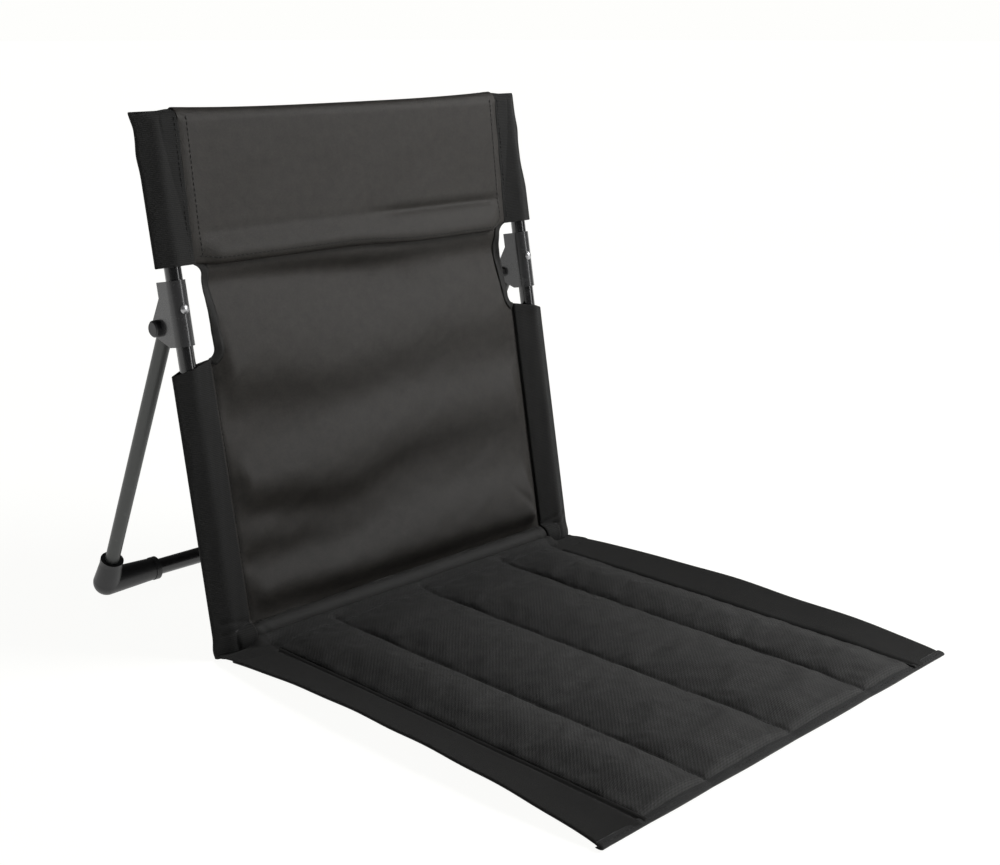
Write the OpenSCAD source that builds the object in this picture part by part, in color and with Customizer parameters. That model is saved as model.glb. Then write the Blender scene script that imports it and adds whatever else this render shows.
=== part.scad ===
// Folding floor chair: a thin padded seat on the ground and a cloth back on a tube frame,
// propped by a rear leg that folds in two brackets. X is sideways, +Y to the rear, +Z up.
// The origin is on the ground, in the middle of the chair's footprint.

/* [Overall] */
// Width of the chair over its cloth
chair_w = 402; // [340:1:480]
// Length of the seat from the crease to its front binding
seat_len = 393; // [330:1:450]
// Length of the back from the ground to its top edge, measured along it
back_len = 418; // [395:1:480]
// Lean of the back from upright, in degrees
recline = 10; // [6:0.5:15]

/* [Back frame] */
// Outer diameter of the frame tubes
tube_d = 13; // [11:0.5:16]
// Wall of the frame tubes
tube_wall = 1.2; // [0.8:0.1:2]
// From the cloth's side edge to the middle of the upright
edge_to_tube = 15; // [13:0.5:20]
// Radius of the frame's corners at the middle of the tube
corner_bend = 14; // [10:1:22]
// Length of a corner piece's plug inside a tube
corner_plug = 18; // [10:1:30]

/* [Hinge brackets] */
// Height of a bracket's lower end above the ground, along the back
bracket_up = 242.5; // [225:0.5:255]
// Length of a bracket along its upright
bracket_len = 50; // [44:1:60]
// Sheet thickness of a bracket
bracket_wall = 1.5; // [1:0.1:2.5]
// Depth of the ears behind the upright's middle, at their top
ear_depth = 12.7; // [11:0.1:16]
// Depth of the ears behind the upright's middle, at their bottom
ear_foot_depth = 7; // [5:0.1:10]
// Height of the straight part of an ear's rear edge
ear_straight = 12; // [6:1:18]
// Radius of the ear's lobe round the pivot
lobe_r = 8; // [6.5:0.1:9]
// From the bracket's lower end up to the pivot
pivot_rise = 15.5; // [12:0.5:20]
// From the middle of the upright back to the pivot
pivot_back = 20.4; // [19:0.1:24]
// From the bracket's lower end up to its rivet
rivet_rise = 28; // [20:1:36]
// Diameter of the rivet's shank
rivet_d = 4; // [3:0.2:5]
// Diameter of the rivet's head
rivet_head_d = 7.4; // [6:0.2:9]
// Height of the rivet's head
rivet_head_h = 1.8; // [1:0.1:2.5]
// Diameter of the rivet's end inside the tube
rivet_tail_d = 5.6; // [4.5:0.2:6.5]
// Length of the rivet's end inside the tube
rivet_tail_h = 2; // [1:0.2:3]

/* [Pivots] */
// Diameter of a hinge bolt
bolt_d = 5; // [4:0.5:6]
// Diameter of a hinge bolt's head
bolt_head_d = 9; // [8:0.5:10]
// Height of a hinge bolt's head
bolt_head_h = 2.6; // [1.5:0.1:3.5]
// Width of a nut across its flats
nut_w = 8; // [7:0.5:10]
// Height of a nut
nut_h = 4; // [3:0.5:6]
// Length of the bolt beyond its nut
bolt_end = 1.5; // [0.5:0.5:3]
// Diameter of the plastic cap on a bolt head
cap_d = 13; // [12:0.5:16]
// Height of the plastic cap
cap_h = 5; // [4.4:0.1:6.5]
// Outer diameter of a washer beside a leg tube
washer_d = 11; // [9:0.5:12]
// Gap between an ear and a leg tube, which the washer nearly fills
ear_gap = 0.6; // [0.4:0.1:1.2]

/* [Rear leg] */
// Outer diameter of the leg tubes
leg_d = 12; // [10:0.5:12.5]
// Wall of the leg tubes
leg_wall = 1; // [0.8:0.1:1.5]
// Angle between an open leg and its upright, in degrees
leg_open = 36; // [30:0.5:42]
// Thickness of the end plug's rim
plug_rim = 1.5; // [1:0.1:3]
// Length of the end plug inside the tube
plug_stem = 7; // [4:0.5:8]
// Outer diameter of the tube that joins the feet
foot_bar_d = 14; // [12:0.5:16]
// Wall of the tube that joins the feet
foot_bar_wall = 1.2; // [0.8:0.1:2]

/* [Foot elbows] */
// Diameter of the foot's rounded corner, which stands on the ground
foot_d = 23; // [20:0.5:28]
// Length of the socket above the foot's centre
socket_len = 26; // [20:1:34]
// Diameter of the socket at its mouth
socket_d = 18; // [16:0.5:22]
// Diameter of the rim round the socket's mouth
socket_rim_d = 19.4; // [17.5:0.1:24]
// Height of the rim round the socket's mouth
socket_rim_h = 4; // [2:0.5:6]
// Length of the barrel from the foot's centre
barrel_len = 49; // [38:1:60]
// Diameter of the barrel at its inner end
barrel_d = 19; // [18:0.5:23]
// Diameter of the barrel's end collar
collar_d = 20.4; // [19.5:0.1:25]
// Length of the barrel's end collar
collar_len = 5; // [2:0.5:8]
// From the foot's centre to the end of the leg tube in its socket
leg_seat = 9; // [8:0.5:14]
// From the foot's centre to the end of the crossbar in its barrel
bar_seat = 12; // [9:0.5:18]

/* [Back cloth] */
// Thickness of the cloth with its hems
cloth_t = 1.2; // [0.8:0.1:2]
// From the cloth's side edge to a sleeve's stitching
seam_inset = 35; // [32:1:42]
// How far the side cut-outs reach inwards past the stitching
cut_depth = 6; // [2:0.5:8]
// From the cloth's lower cut-out edge up to the bracket
cut_below = 21; // [14:1:30]
// From the bracket up to the head part's lower edge
cut_above = 10.5; // [6:0.5:16]
// Rise of the lower sleeve's top edge from its outer to its inner end
sleeve_slope = 8; // [0:1:14]
// Radius of a cut-out's upper inner corner
cut_r = 9; // [4:1:10]
// Diameter of the rolled cloth at the crease
roll_d = 21; // [19:0.5:26]
// Depth of the panel's folds
fold_depth = 4; // [1:0.5:5]
// Thickness of the head pocket along its lower seam
pocket_hem = 3.4; // [3:0.1:5]
// Thickness of a sleeve along its stitching
sleeve_hem = 2.6; // [2:0.1:4]
// Thickness of a sleeve along its outer fold
sleeve_fold = 4.4; // [3.6:0.1:6]

/* [Seat] */
// Width of the plain strip along each side of the pad
strip_w = 41; // [30:1:55]
// Width of the two inner channels
channel_w = 95; // [75:1:105]
// Height of the pad at its seams
seam_h = 7; // [6:0.5:9]
// Height of the pad at the crown of a channel
crown_h = 16; // [12:0.5:18]
// Length over which the pad thins towards its ends
end_len = 46; // [25:1:70]
// Thickness of the seat's cover and base cloth
seat_cloth_t = 1.2; // [0.8:0.1:2]
// Thickness of the side strips, which are doubled cloth
strip_t = 2.4; // [1.6:0.1:3.5]
// How high the left strip's outer edge arches off the ground
left_arch = 13; // [0:0.5:20]
// How high the right strip's outer edge arches off the ground
right_arch = 9.5; // [0:0.5:20]
// Thickness of the front binding
hem_t = 3; // [2:0.1:4]
// Height of the front binding
hem_h = 8; // [7:0.5:10]
// From the crease forward to the line that the seat folds on
fold_fwd = 10.5; // [9.5:0.5:14]
// Height of the line that the seat folds on
fold_up = 12; // [11:0.5:14]
// Length of the cloth web between the fold line and the pad
web_len = 13; // [12:0.5:20]

/* [Hidden] */

// Clearances
cloth_gap = 0.3;
fold_gap = 0.4;
running_gap = 0.05;
slip_gap = 0.1;
stop_gap = 0.2;
foam_gap = 0.3;
overrun = 5;

// Roundness
fine = 64;
coarse = 28;

// Half sizes and radii
half_w = chair_w / 2;
tube_r = tube_d / 2;
leg_r = leg_d / 2;
bolt_r = bolt_d / 2;
foot_r = foot_d / 2;
foot_bar_r = foot_bar_d / 2;
roll_r = roll_d / 2;
tube_x = half_w - edge_to_tube;
wrap_r = tube_r + cloth_gap + cloth_t;
bore_r = tube_r + cloth_gap;

// Places along the back
bar_up = roll_r / cos(recline);
top_up = back_len - wrap_r;
roll_top = bar_up + roll_r;
pivot_up = bracket_up + pivot_rise;
rivet_up = bracket_up + rivet_rise;
cut_low = bracket_up - cut_below;
seam_up = bracket_up + bracket_len + cut_above;
sleeve_top = cut_low + sleeve_slope;
seam_half = half_w - seam_inset;
free_half = seam_half - cut_depth;

// Half widths of the bracket inside and outside its ears
ear_in = leg_r + ear_gap;
channel_in = max(tube_r + slip_gap, ear_in);
channel_out = channel_in + bracket_wall;

// The leg: its length brings the foot to the ground, its upper end stops on the upright
pivot_z = pivot_up * cos(recline) - pivot_back * sin(recline);
pivot_y = pivot_up * sin(recline) + pivot_back * cos(recline);
leg_lean = leg_open - recline;
leg_len = (pivot_z - foot_r) / cos(leg_lean);
leg_top = (pivot_back - tube_r - stop_gap - leg_r * cos(leg_open)) / sin(leg_open);

// The footprint, and the shift that centres it on the origin
front_y = -(seat_len + hem_t);
rear_y = pivot_y + leg_len * sin(leg_lean) + foot_r;
shift_y = -(front_y + rear_y) / 2;

// The pad's outline and seams
pad_half = half_w - strip_w;
pad_rear = -(fold_fwd + web_len);
pad_front = -seat_len;
pad_rear_h = fold_up + seat_cloth_t / 2;
seams = [-pad_half, -channel_w, 0, channel_w, pad_half];
channel_shares = [0, 0.03, 0.13, 0.3, 0.5, 0.7, 0.87, 0.97];
length_shares = [0, 0.012, 0.03, 0.06, 0.1, 0.2, 0.35, 0.5, 0.65, 0.8, 0.9, 0.94, 0.97, 0.988, 1];
strip_rows = 14;

// Main folds of the back panel: centre, tilt and width as shares of its height, and depth
fold_shares = [[0.9, -0.02, 0.06, 0.6], [0.76, -0.03, 0.08, -0.6], [0.59, -0.02, 0.1, 0.9],
    [0.42, 0.02, 0.1, -0.9], [0.25, 0.09, 0.09, 0.9], [0.12, 0.05, 0.07, -0.8]];
panel_cols = 16;
low_rows = 16;
free_rows = 4;
corner_angles = [0, 18, 36, 54, 72, 90];

// Frames of the three moving groups

module on_back() {
    translate([0, shift_y, 0]) rotate([-recline, 0, 0]) children();
}

module on_leg() {
    on_back() translate([0, pivot_back, pivot_up]) rotate([leg_open, 0, 0]) children();
}

module on_ground() {
    translate([0, shift_y, 0]) children();
}

// side is -1 for the left and 1 for the right; the children are drawn for the right
module on_side(side) {
    mirror([side < 0 ? 1 : 0, 0, 0]) children();
}

// Shared shapes

module rod_x(r, x0, x1, sides = fine) {
    translate([x0, 0, 0]) rotate([0, 90, 0]) cylinder(r = r, h = x1 - x0, $fn = sides);
}

module prism_x(x0, x1) {
    translate([x0, 0, 0]) rotate([90, 0, 90]) linear_extrude(x1 - x0) children();
}

// Point where a line from p touches a circle, on the side given by turn
function tangent(p, c, r, turn) =
    let (a = atan2(p.y - c.y, p.x - c.x) + turn * acos(r / norm(p - c)))
    c + r * [cos(a), sin(a)];

function mix(a, b, k) = a + (b - a) * k;

function ease(k) = let (c = min(1, max(0, k))) c * c * (3 - 2 * c);

// Closed solid between two grids of points, front(u, v) and back(u, v); the front grid
// faces the side that u crossed with v points to
module slab(us, vs, front, back) {
    nu = len(us);
    nv = len(vs);
    points = concat([for (v = vs, u = us) front(u, v)], [for (v = vs, u = us) back(u, v)]);
    function at(i, j, face) = face * nu * nv + j * nu + i;
    faces = concat(
        [for (j = [0:nv - 2], i = [0:nu - 2]) [at(i, j, 0), at(i, j + 1, 0), at(i + 1, j + 1, 0)]],
        [for (j = [0:nv - 2], i = [0:nu - 2]) [at(i, j, 0), at(i + 1, j + 1, 0), at(i + 1, j, 0)]],
        [for (j = [0:nv - 2], i = [0:nu - 2]) [at(i, j, 1), at(i + 1, j + 1, 1), at(i, j + 1, 1)]],
        [for (j = [0:nv - 2], i = [0:nu - 2]) [at(i, j, 1), at(i + 1, j, 1), at(i + 1, j + 1, 1)]],
        [for (i = [0:nu - 2]) [at(i, 0, 0), at(i + 1, 0, 0), at(i + 1, 0, 1)]],
        [for (i = [0:nu - 2]) [at(i, 0, 0), at(i + 1, 0, 1), at(i, 0, 1)]],
        [for (i = [0:nu - 2]) [at(i + 1, nv - 1, 0), at(i, nv - 1, 0), at(i, nv - 1, 1)]],
        [for (i = [0:nu - 2]) [at(i + 1, nv - 1, 0), at(i, nv - 1, 1), at(i + 1, nv - 1, 1)]],
        [for (j = [0:nv - 2]) [at(0, j + 1, 0), at(0, j, 0), at(0, j, 1)]],
        [for (j = [0:nv - 2]) [at(0, j + 1, 0), at(0, j, 1), at(0, j + 1, 1)]],
        [for (j = [0:nv - 2]) [at(nu - 1, j, 0), at(nu - 1, j + 1, 0), at(nu - 1, j + 1, 1)]],
        [for (j = [0:nv - 2]) [at(nu - 1, j, 0), at(nu - 1, j + 1, 1), at(nu - 1, j, 1)]]);
    polyhedron(points, faces);
}

// Back frame

module upright(side) {
    color([0.06, 0.06, 0.065]) on_back() on_side(side)
    difference() {
        translate([tube_x, 0, bar_up + corner_bend])
            cylinder(r = tube_r, h = top_up - bar_up - 2 * corner_bend, $fn = fine);
        translate([tube_x, 0, bar_up])
            cylinder(r = tube_r - tube_wall, h = top_up - bar_up, $fn = fine);
        translate([tube_x, 0, rivet_up]) rotate([90, 0, 0])
            cylinder(d = rivet_d, h = tube_r + overrun, $fn = fine);
    }
}

module crossbar(up) {
    color([0.06, 0.06, 0.065]) on_back() translate([0, 0, up])
    difference() {
        rod_x(tube_r, corner_bend - tube_x, tube_x - corner_bend);
        rod_x(tube_r - tube_wall, -tube_x, tube_x);
    }
}

// Bend of the frame's centre line at a corner, as a solid of the given radius
module bend(r) {
    rotate([90, 0, 0]) rotate_extrude(angle = 90, $fn = fine)
        translate([corner_bend, 0]) circle(r = r, $fn = fine);
}

// A corner bend with a plug in each of its two tubes, drawn for the top right
module corner_shape() {
    plug_r = tube_r - tube_wall;
    bend(tube_r);
    translate([corner_bend, 0, -corner_plug]) cylinder(r = plug_r, h = corner_plug, $fn = fine);
    translate([0, 0, corner_bend]) rod_x(plug_r, -corner_plug, 0);
}

module top_corner(side) {
    color([0.1, 0.1, 0.1]) on_back() on_side(side)
        translate([tube_x - corner_bend, 0, top_up - corner_bend]) corner_shape();
}

module bottom_corner(side) {
    color([0.1, 0.1, 0.1]) on_back() on_side(side)
        translate([tube_x - corner_bend, 0, bar_up + corner_bend]) mirror([0, 0, 1]) corner_shape();
}

// Room that the tubes take inside the cloth
module frame_room(side) {
    on_side(side) {
        translate([tube_x, 0, bar_up + corner_bend])
            cylinder(r = bore_r, h = top_up - bar_up - 2 * corner_bend, $fn = fine);
        translate([tube_x - corner_bend, 0, top_up - corner_bend]) bend(bore_r);
        translate([tube_x - corner_bend, 0, bar_up + corner_bend]) mirror([0, 0, 1]) bend(bore_r);
        translate([0, 0, top_up]) rod_x(bore_r, 0, tube_x - corner_bend);
        translate([0, 0, bar_up]) rod_x(bore_r, 0, tube_x - corner_bend);
    }
}

// Hinges

// Section of the folded channel, open to the rear
module channel_section() {
    difference() {
        union() {
            circle(r = channel_out, $fn = fine);
            translate([-channel_out, 0]) square([2 * channel_out, pivot_back + lobe_r]);
        }
        circle(r = channel_in, $fn = fine);
        translate([-channel_in, 0]) square([2 * channel_in, pivot_back + lobe_r + overrun]);
    }
}

// Side outline of the bracket: a straight upper edge, then a line to the lobe and back
module ear_outline() {
    top = bracket_up + bracket_len;
    shoulder = [ear_depth, top - ear_straight];
    heel = [ear_foot_depth, bracket_up];
    pivot = [pivot_back, pivot_up];
    front = -channel_out - overrun;
    polygon([[front, bracket_up], heel, tangent(heel, pivot, lobe_r, 1),
        tangent(shoulder, pivot, lobe_r, -1), shoulder, [ear_depth, top], [front, top]]);
    translate(pivot) circle(r = lobe_r, $fn = fine);
}

module hinge_bracket(side) {
    color([0.24, 0.24, 0.25]) on_back() on_side(side) translate([tube_x, 0, 0])
    difference() {
        intersection() {
            translate([0, 0, bracket_up]) linear_extrude(bracket_len) channel_section();
            prism_x(-channel_out - overrun, channel_out + overrun) ear_outline();
        }
        translate([0, pivot_back, pivot_up])
            rod_x(bolt_r, -channel_out - overrun, channel_out + overrun);
        translate([0, 0, rivet_up]) rotate([90, 0, 0])
            cylinder(d = rivet_d, h = channel_out + overrun, $fn = fine);
    }
}

// A blind rivet: domed head on the bracket, shank through both walls, swollen end inside
module bracket_rivets() {
    dome_r = (pow(rivet_head_d / 2, 2) + pow(rivet_head_h, 2)) / (2 * rivet_head_h);
    tail_y = sqrt(pow(tube_r - tube_wall, 2) - pow(rivet_tail_d / 2, 2));
    for (side = [-1, 1])
        color([0.55, 0.55, 0.56]) on_back() on_side(side)
        translate([tube_x, 0, rivet_up]) rotate([90, 0, 0]) {
            intersection() {
                translate([0, 0, channel_out + rivet_head_h - dome_r]) sphere(r = dome_r, $fn = fine);
                translate([0, 0, channel_out])
                    cylinder(d = rivet_head_d, h = rivet_head_h, $fn = fine);
            }
            translate([0, 0, tail_y - rivet_tail_h])
                cylinder(d = rivet_d, h = channel_out - tail_y + rivet_tail_h, $fn = fine);
            translate([0, 0, tail_y - rivet_tail_h])
                cylinder(d = rivet_tail_d, h = rivet_tail_h, $fn = fine);
        }
}

module on_pivot(side) {
    on_back() on_side(side) translate([tube_x, pivot_back, pivot_up]) children();
}

module pivot_bolt(side) {
    tip = channel_out + nut_h + bolt_end;
    color([0.35, 0.35, 0.36]) on_pivot(side) {
        rod_x(bolt_r, -tip, channel_out);
        translate([channel_out, 0, 0]) rotate([0, 90, 0])
            cylinder(d1 = bolt_head_d, d2 = bolt_head_d - bolt_head_h, h = bolt_head_h, $fn = fine);
    }
}

module pivot_nuts() {
    for (side = [-1, 1])
        color([0.5, 0.5, 0.51]) on_pivot(side)
        difference() {
            translate([-channel_out - nut_h, 0, 0]) rotate([0, 90, 0])
                cylinder(d = nut_w / cos(30), h = nut_h, $fn = 6);
            rod_x(bolt_r, -channel_out - nut_h - overrun, 0);
        }
}

// Plastic cap over a bolt head, with a bevelled face
module pivot_caps() {
    bevel = cap_h / 4;
    for (side = [-1, 1])
        color([0.09, 0.09, 0.1]) on_pivot(side) translate([channel_out, 0, 0])
        difference() {
            rotate([0, 90, 0]) {
                cylinder(d = cap_d, h = cap_h - bevel, $fn = fine);
                translate([0, 0, cap_h - bevel])
                    cylinder(d1 = cap_d, d2 = cap_d - 2 * bevel, h = bevel, $fn = fine);
            }
            rod_x(bolt_head_d / 2, 0, bolt_head_h + slip_gap);
        }
}

module pivot_washers() {
    for (side = [-1, 1], face = [-1, 1])
        color([0.8, 0.8, 0.78]) on_pivot(side) on_side(face)
        difference() {
            rod_x(washer_d / 2, leg_r + slip_gap, channel_in);
            rod_x(bolt_r, 0, channel_out);
        }
}

// Rear leg

module leg_tube(side) {
    color([0.27, 0.27, 0.27]) on_leg() on_side(side) translate([tube_x, 0, 0])
    difference() {
        translate([0, 0, leg_seat - leg_len])
            cylinder(r = leg_r, h = leg_len - leg_seat + leg_top - plug_rim, $fn = fine);
        translate([0, 0, -leg_len]) cylinder(r = leg_r - leg_wall, h = leg_len + leg_top, $fn = fine);
        rod_x(bolt_r + running_gap, -leg_d, leg_d);
    }
}

module leg_plugs() {
    for (side = [-1, 1])
        color([0.09, 0.09, 0.1]) on_leg() on_side(side)
        translate([tube_x, 0, leg_top - plug_rim]) {
            cylinder(r = leg_r, h = plug_rim, $fn = fine);
            translate([0, 0, -plug_stem])
                cylinder(r = leg_r - leg_wall, h = plug_stem, $fn = fine);
        }
}

// Moulded elbow: a round foot, a tapered socket for the leg and a tapered barrel inboard
module foot_elbow(side) {
    color([0.08, 0.08, 0.085]) on_leg() on_side(side) translate([tube_x, 0, -leg_len])
    difference() {
        union() {
            sphere(r = foot_r, $fn = fine);
            cylinder(r1 = foot_r, d2 = socket_d, h = socket_len, $fn = fine);
            translate([0, 0, socket_len - socket_rim_h])
                cylinder(d = socket_rim_d, h = socket_rim_h, $fn = fine);
            rotate([0, -90, 0]) cylinder(r1 = foot_r, d2 = barrel_d, h = barrel_len, $fn = fine);
            rod_x(collar_d / 2, -barrel_len, collar_len - barrel_len);
        }
        translate([0, 0, leg_seat]) cylinder(r = leg_r, h = socket_len, $fn = fine);
        rod_x(foot_bar_r, -barrel_len - overrun, -bar_seat);
    }
}

module foot_crossbar() {
    reach = tube_x - bar_seat;
    color([0.07, 0.07, 0.07]) on_leg() translate([0, 0, -leg_len])
    difference() {
        rod_x(foot_bar_r, -reach, reach);
        rod_x(foot_bar_r - foot_bar_wall, -reach - overrun, reach + overrun);
    }
}

// Back cloth

// How far the panel's surface lies off its plane: soft folds that die out at its stitched edges
function panel_depth(across, up) =
    let (k = (up - roll_top) / (seam_up - roll_top),
        hold = ease(5 * k) * ease(5 * (1 - k)) * ease(4 * (0.5 - abs(across))))
    hold * fold_depth * sum_folds(k, across);

// Rows of the panel as [height, half width]: straight along the lower sleeves, then a free
// edge that turns in and out again by quarter ellipses and meets the head part
panel_rows = concat(
    [for (j = [0:low_rows - 1]) [mix(roll_top, sleeve_top, j / low_rows), seam_half]],
    [for (a = corner_angles)
        [sleeve_top + cut_r * (1 - cos(a)), free_half + cut_depth * (1 - sin(a))]],
    [for (j = [1:free_rows - 1])
        [mix(sleeve_top + cut_r, seam_up - cut_r, j / free_rows), free_half]],
    [for (a = corner_angles) [seam_up - cut_r * (1 - sin(a)), free_half + cut_r * (1 - cos(a))]]);

function sum_folds(k, across, i = 0) =
    i == len(fold_shares) ? 0 :
    let (f = fold_shares[i], d = (k - f[0] - f[1] * across) / f[2])
    f[3] * exp(-d * d) + sum_folds(k, across, i + 1);

module back_panel() {
    shares = [for (i = [0:panel_cols]) i / panel_cols - 0.5];
    function spot(k, row, out) = [2 * k * row[1], panel_depth(k, row[0]) + out, row[0]];
    color([0.2, 0.2, 0.195]) on_back()
        slab(shares, panel_rows, function (k, row) spot(k, row, -cloth_t / 2),
            function (k, row) spot(k, row, cloth_t / 2));
}

// Section of the head pocket: a loop over the top bar that narrows to its lower seam
module pocket_section(wall) {
    hull() {
        translate([0, top_up]) circle(r = wrap_r - wall, $fn = coarse);
        translate([0, seam_up + pocket_hem / 2]) circle(r = pocket_hem / 2 - wall, $fn = coarse);
    }
}

module head_pocket() {
    color([0.2, 0.2, 0.195]) on_back()
    difference() {
        prism_x(-seam_half, seam_half) pocket_section(0);
        prism_x(-seam_half - overrun, seam_half + overrun) pocket_section(cloth_t);
    }
}

// Section of a sleeve: thin at its stitching, round at the tube, folded at its outer edge
module sleeve_section(wall) {
    hull() {
        translate([seam_half + sleeve_hem / 2, 0]) circle(r = sleeve_hem / 2 - wall, $fn = coarse);
        translate([tube_x, 0]) circle(r = wrap_r - wall, $fn = coarse);
        translate([half_w - sleeve_fold / 2, 0]) circle(r = sleeve_fold / 2 - wall, $fn = coarse);
    }
}

module head_sleeve(side) {
    color([0.15, 0.15, 0.145]) on_back() on_side(side)
    difference() {
        union() {
            translate([0, 0, seam_up]) linear_extrude(back_len - seam_up) sleeve_section(0);
            translate([0, 0, top_up]) rod_x(wrap_r, seam_half, tube_x);
            translate([tube_x, 0, top_up]) sphere(r = wrap_r, $fn = fine);
        }
        translate([0, 0, seam_up - overrun])
            linear_extrude(top_up - corner_bend - seam_up + overrun) sleeve_section(cloth_t);
        frame_room(1);
    }
}

// The lower sleeve's top edge slopes, and its lower end sits on the crease roll
module back_sleeve(side) {
    slope = atan(sleeve_slope / seam_inset);
    color([0.15, 0.15, 0.145]) on_back() on_side(side)
    difference() {
        translate([0, 0, bar_up]) linear_extrude(sleeve_top - bar_up) sleeve_section(0);
        translate([0, 0, bar_up + corner_bend])
            linear_extrude(cut_low) sleeve_section(cloth_t);
        translate([half_w, -wrap_r - overrun, cut_low]) rotate([0, slope, 0])
            translate([-2 * half_w, 0, 0]) cube([3 * half_w, 2 * (wrap_r + overrun), half_w]);
        translate([0, 0, bar_up]) rod_x(roll_r, 0, half_w + overrun);
        frame_room(1);
    }
}

// Cloth rolled round the bottom bar, with a tab that reaches to the fold line
module crease_sleeve() {
    tab_t = seat_cloth_t;
    color([0.22, 0.22, 0.215]) difference() {
        union() {
            on_back() translate([0, 0, bar_up]) rod_x(roll_r, -half_w, half_w);
            on_ground() translate([-half_w, -fold_fwd, fold_up - tab_t / 2])
                cube([chair_w, fold_fwd, tab_t]);
        }
        on_ground() translate([0, -fold_fwd, fold_up])
            rod_x(tab_t / 2 + fold_gap, -half_w - overrun, half_w + overrun);
        on_back() for (side = [-1, 1]) frame_room(side);
    }
}

// Seat

// Crown of the channel that x lies in, from 0 at a seam to 1 in its middle
function crown(x, i = 0) =
    x <= seams[i + 1] || i == len(seams) - 2 ?
    pow(max(0, sin(180 * (x - seams[i]) / (seams[i + 1] - seams[i]))), 0.7) : crown(x, i + 1);

// Height of the cover: crowned channels that flatten towards the front and the crease
function cover_h(x, y) =
    let (full = mix(seam_h, crown_h, crown(x)))
    mix(mix(pad_rear_h, full, ease((pad_rear - y) / end_len)), seam_h,
        1 - ease((y - pad_front) / end_len));

function is_seam(x) = len([for (s = seams) if (abs(x - s) < 0.01) s]) > 0;

// Underside of the cover, which comes down to the base at the seams and along the edges
function cover_under(x, y) =
    is_seam(x) || y == pad_rear || y == pad_front ? seat_cloth_t : cover_h(x, y) - seat_cloth_t;

function channel_xs(i, first, last) =
    [for (k = [first:last]) mix(seams[i], seams[i + 1], channel_shares[k])];

pad_ys = [for (k = length_shares) mix(pad_front, pad_rear, k)];

module seat_cover() {
    xs = concat([for (i = [0:3]) each channel_xs(i, 0, 7)], [pad_half]);
    color([0.17, 0.17, 0.165]) on_ground()
        slab(xs, pad_ys, function (x, y) [x, y, cover_h(x, y)],
            function (x, y) [x, y, cover_under(x, y)]);
}

// Foam strip of one channel, under the cover and over the base
module seat_foam(i) {
    ys = [for (k = [1:len(length_shares) - 2]) pad_ys[k]];
    color([0.75, 0.74, 0.7]) on_ground()
        slab(channel_xs(i, 1, 7), ys,
            function (x, y) [x, y, cover_h(x, y) - seat_cloth_t - foam_gap],
            function (x, y) [x, y, seat_cloth_t]);
}

module seat_base() {
    color([0.12, 0.12, 0.12]) on_ground() translate([-pad_half, pad_front, 0])
        cube([2 * pad_half, pad_rear - pad_front, seat_cloth_t]);
}

// Plain side strip: level with the seam inboard, arched off the ground along its outer edge
function strip_mid(u, k, arch) =
    mix(seam_h - strip_t / 2, strip_t / 2 + arch * pow(sin(180 * k), 0.6), u);

module seat_strip(side, arch) {
    us = side < 0 ? [1, 0.5, 0] : [0, 0.5, 1];
    ks = [for (j = [0:strip_rows]) 1 - j / strip_rows];
    function spot(u, k, dz) = [side * mix(pad_half, half_w, u), mix(pad_rear, pad_front, k),
        strip_mid(u, k, arch) + dz];
    color([0.15, 0.15, 0.145]) on_ground()
        slab(us, ks, function (u, k) spot(u, k, strip_t / 2),
            function (u, k) spot(u, k, -strip_t / 2));
}

module seat_front_hem() {
    color([0.13, 0.13, 0.13]) on_ground()
    prism_x(-half_w, half_w) translate([front_y, 0]) {
        translate([0, hem_t / 2]) square([hem_t, hem_h - hem_t]);
        for (z = [hem_t / 2, hem_h - hem_t / 2])
            translate([hem_t / 2, z]) circle(d = hem_t, $fn = fine);
    }
}

// Web from the fold line to the pad, and down the pad's rear end
module seat_web() {
    color([0.15, 0.15, 0.145]) on_ground()
    prism_x(-half_w, half_w) {
        translate([-fold_fwd, fold_up]) circle(d = seat_cloth_t, $fn = fine);
        translate([pad_rear, fold_up - seat_cloth_t / 2]) square([web_len, seat_cloth_t]);
        translate([pad_rear, 0]) square([seat_cloth_t, fold_up]);
    }
}

upright(-1);  // upright_left
upright(1);  // upright_right
crossbar(top_up);  // top_crossbar
crossbar(bar_up);  // bottom_crossbar
top_corner(-1);  // top_corner_left
top_corner(1);  // top_corner_right
bottom_corner(-1);  // bottom_corner_left
bottom_corner(1);  // bottom_corner_right
hinge_bracket(-1);  // hinge_bracket_left
hinge_bracket(1);  // hinge_bracket_right
bracket_rivets();
pivot_bolt(-1);  // pivot_bolt_left
pivot_bolt(1);  // pivot_bolt_right
pivot_nuts();
pivot_caps();
pivot_washers();
leg_tube(-1);  // leg_tube_left
leg_tube(1);  // leg_tube_right
leg_plugs();
foot_elbow(-1);  // foot_elbow_left
foot_elbow(1);  // foot_elbow_right
foot_crossbar();
back_panel();
head_pocket();
head_sleeve(-1);  // head_sleeve_left
head_sleeve(1);  // head_sleeve_right
back_sleeve(-1);  // back_sleeve_left
back_sleeve(1);  // back_sleeve_right
crease_sleeve();
seat_base();
seat_foam(0);  // seat_foam_1
seat_foam(1);  // seat_foam_2
seat_foam(2);  // seat_foam_3
seat_foam(3);  // seat_foam_4
seat_cover();
seat_strip(-1, left_arch);  // seat_strip_left
seat_strip(1, right_arch);  // seat_strip_right
seat_front_hem();
seat_web();
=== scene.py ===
# %% [markdown]
# # A folding floor chair
#
# The chair is a cloth back stretched on a tube frame, a folding rear leg that props it up, and
# a thin quilted seat that lies on the ground. Tubes, brackets, bolts and moulded feet come
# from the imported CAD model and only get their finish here. Everything sewn is made here as
# cloth, because a solid block never shows the folds, hems and stitches of the real one.

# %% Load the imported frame
import math

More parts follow.
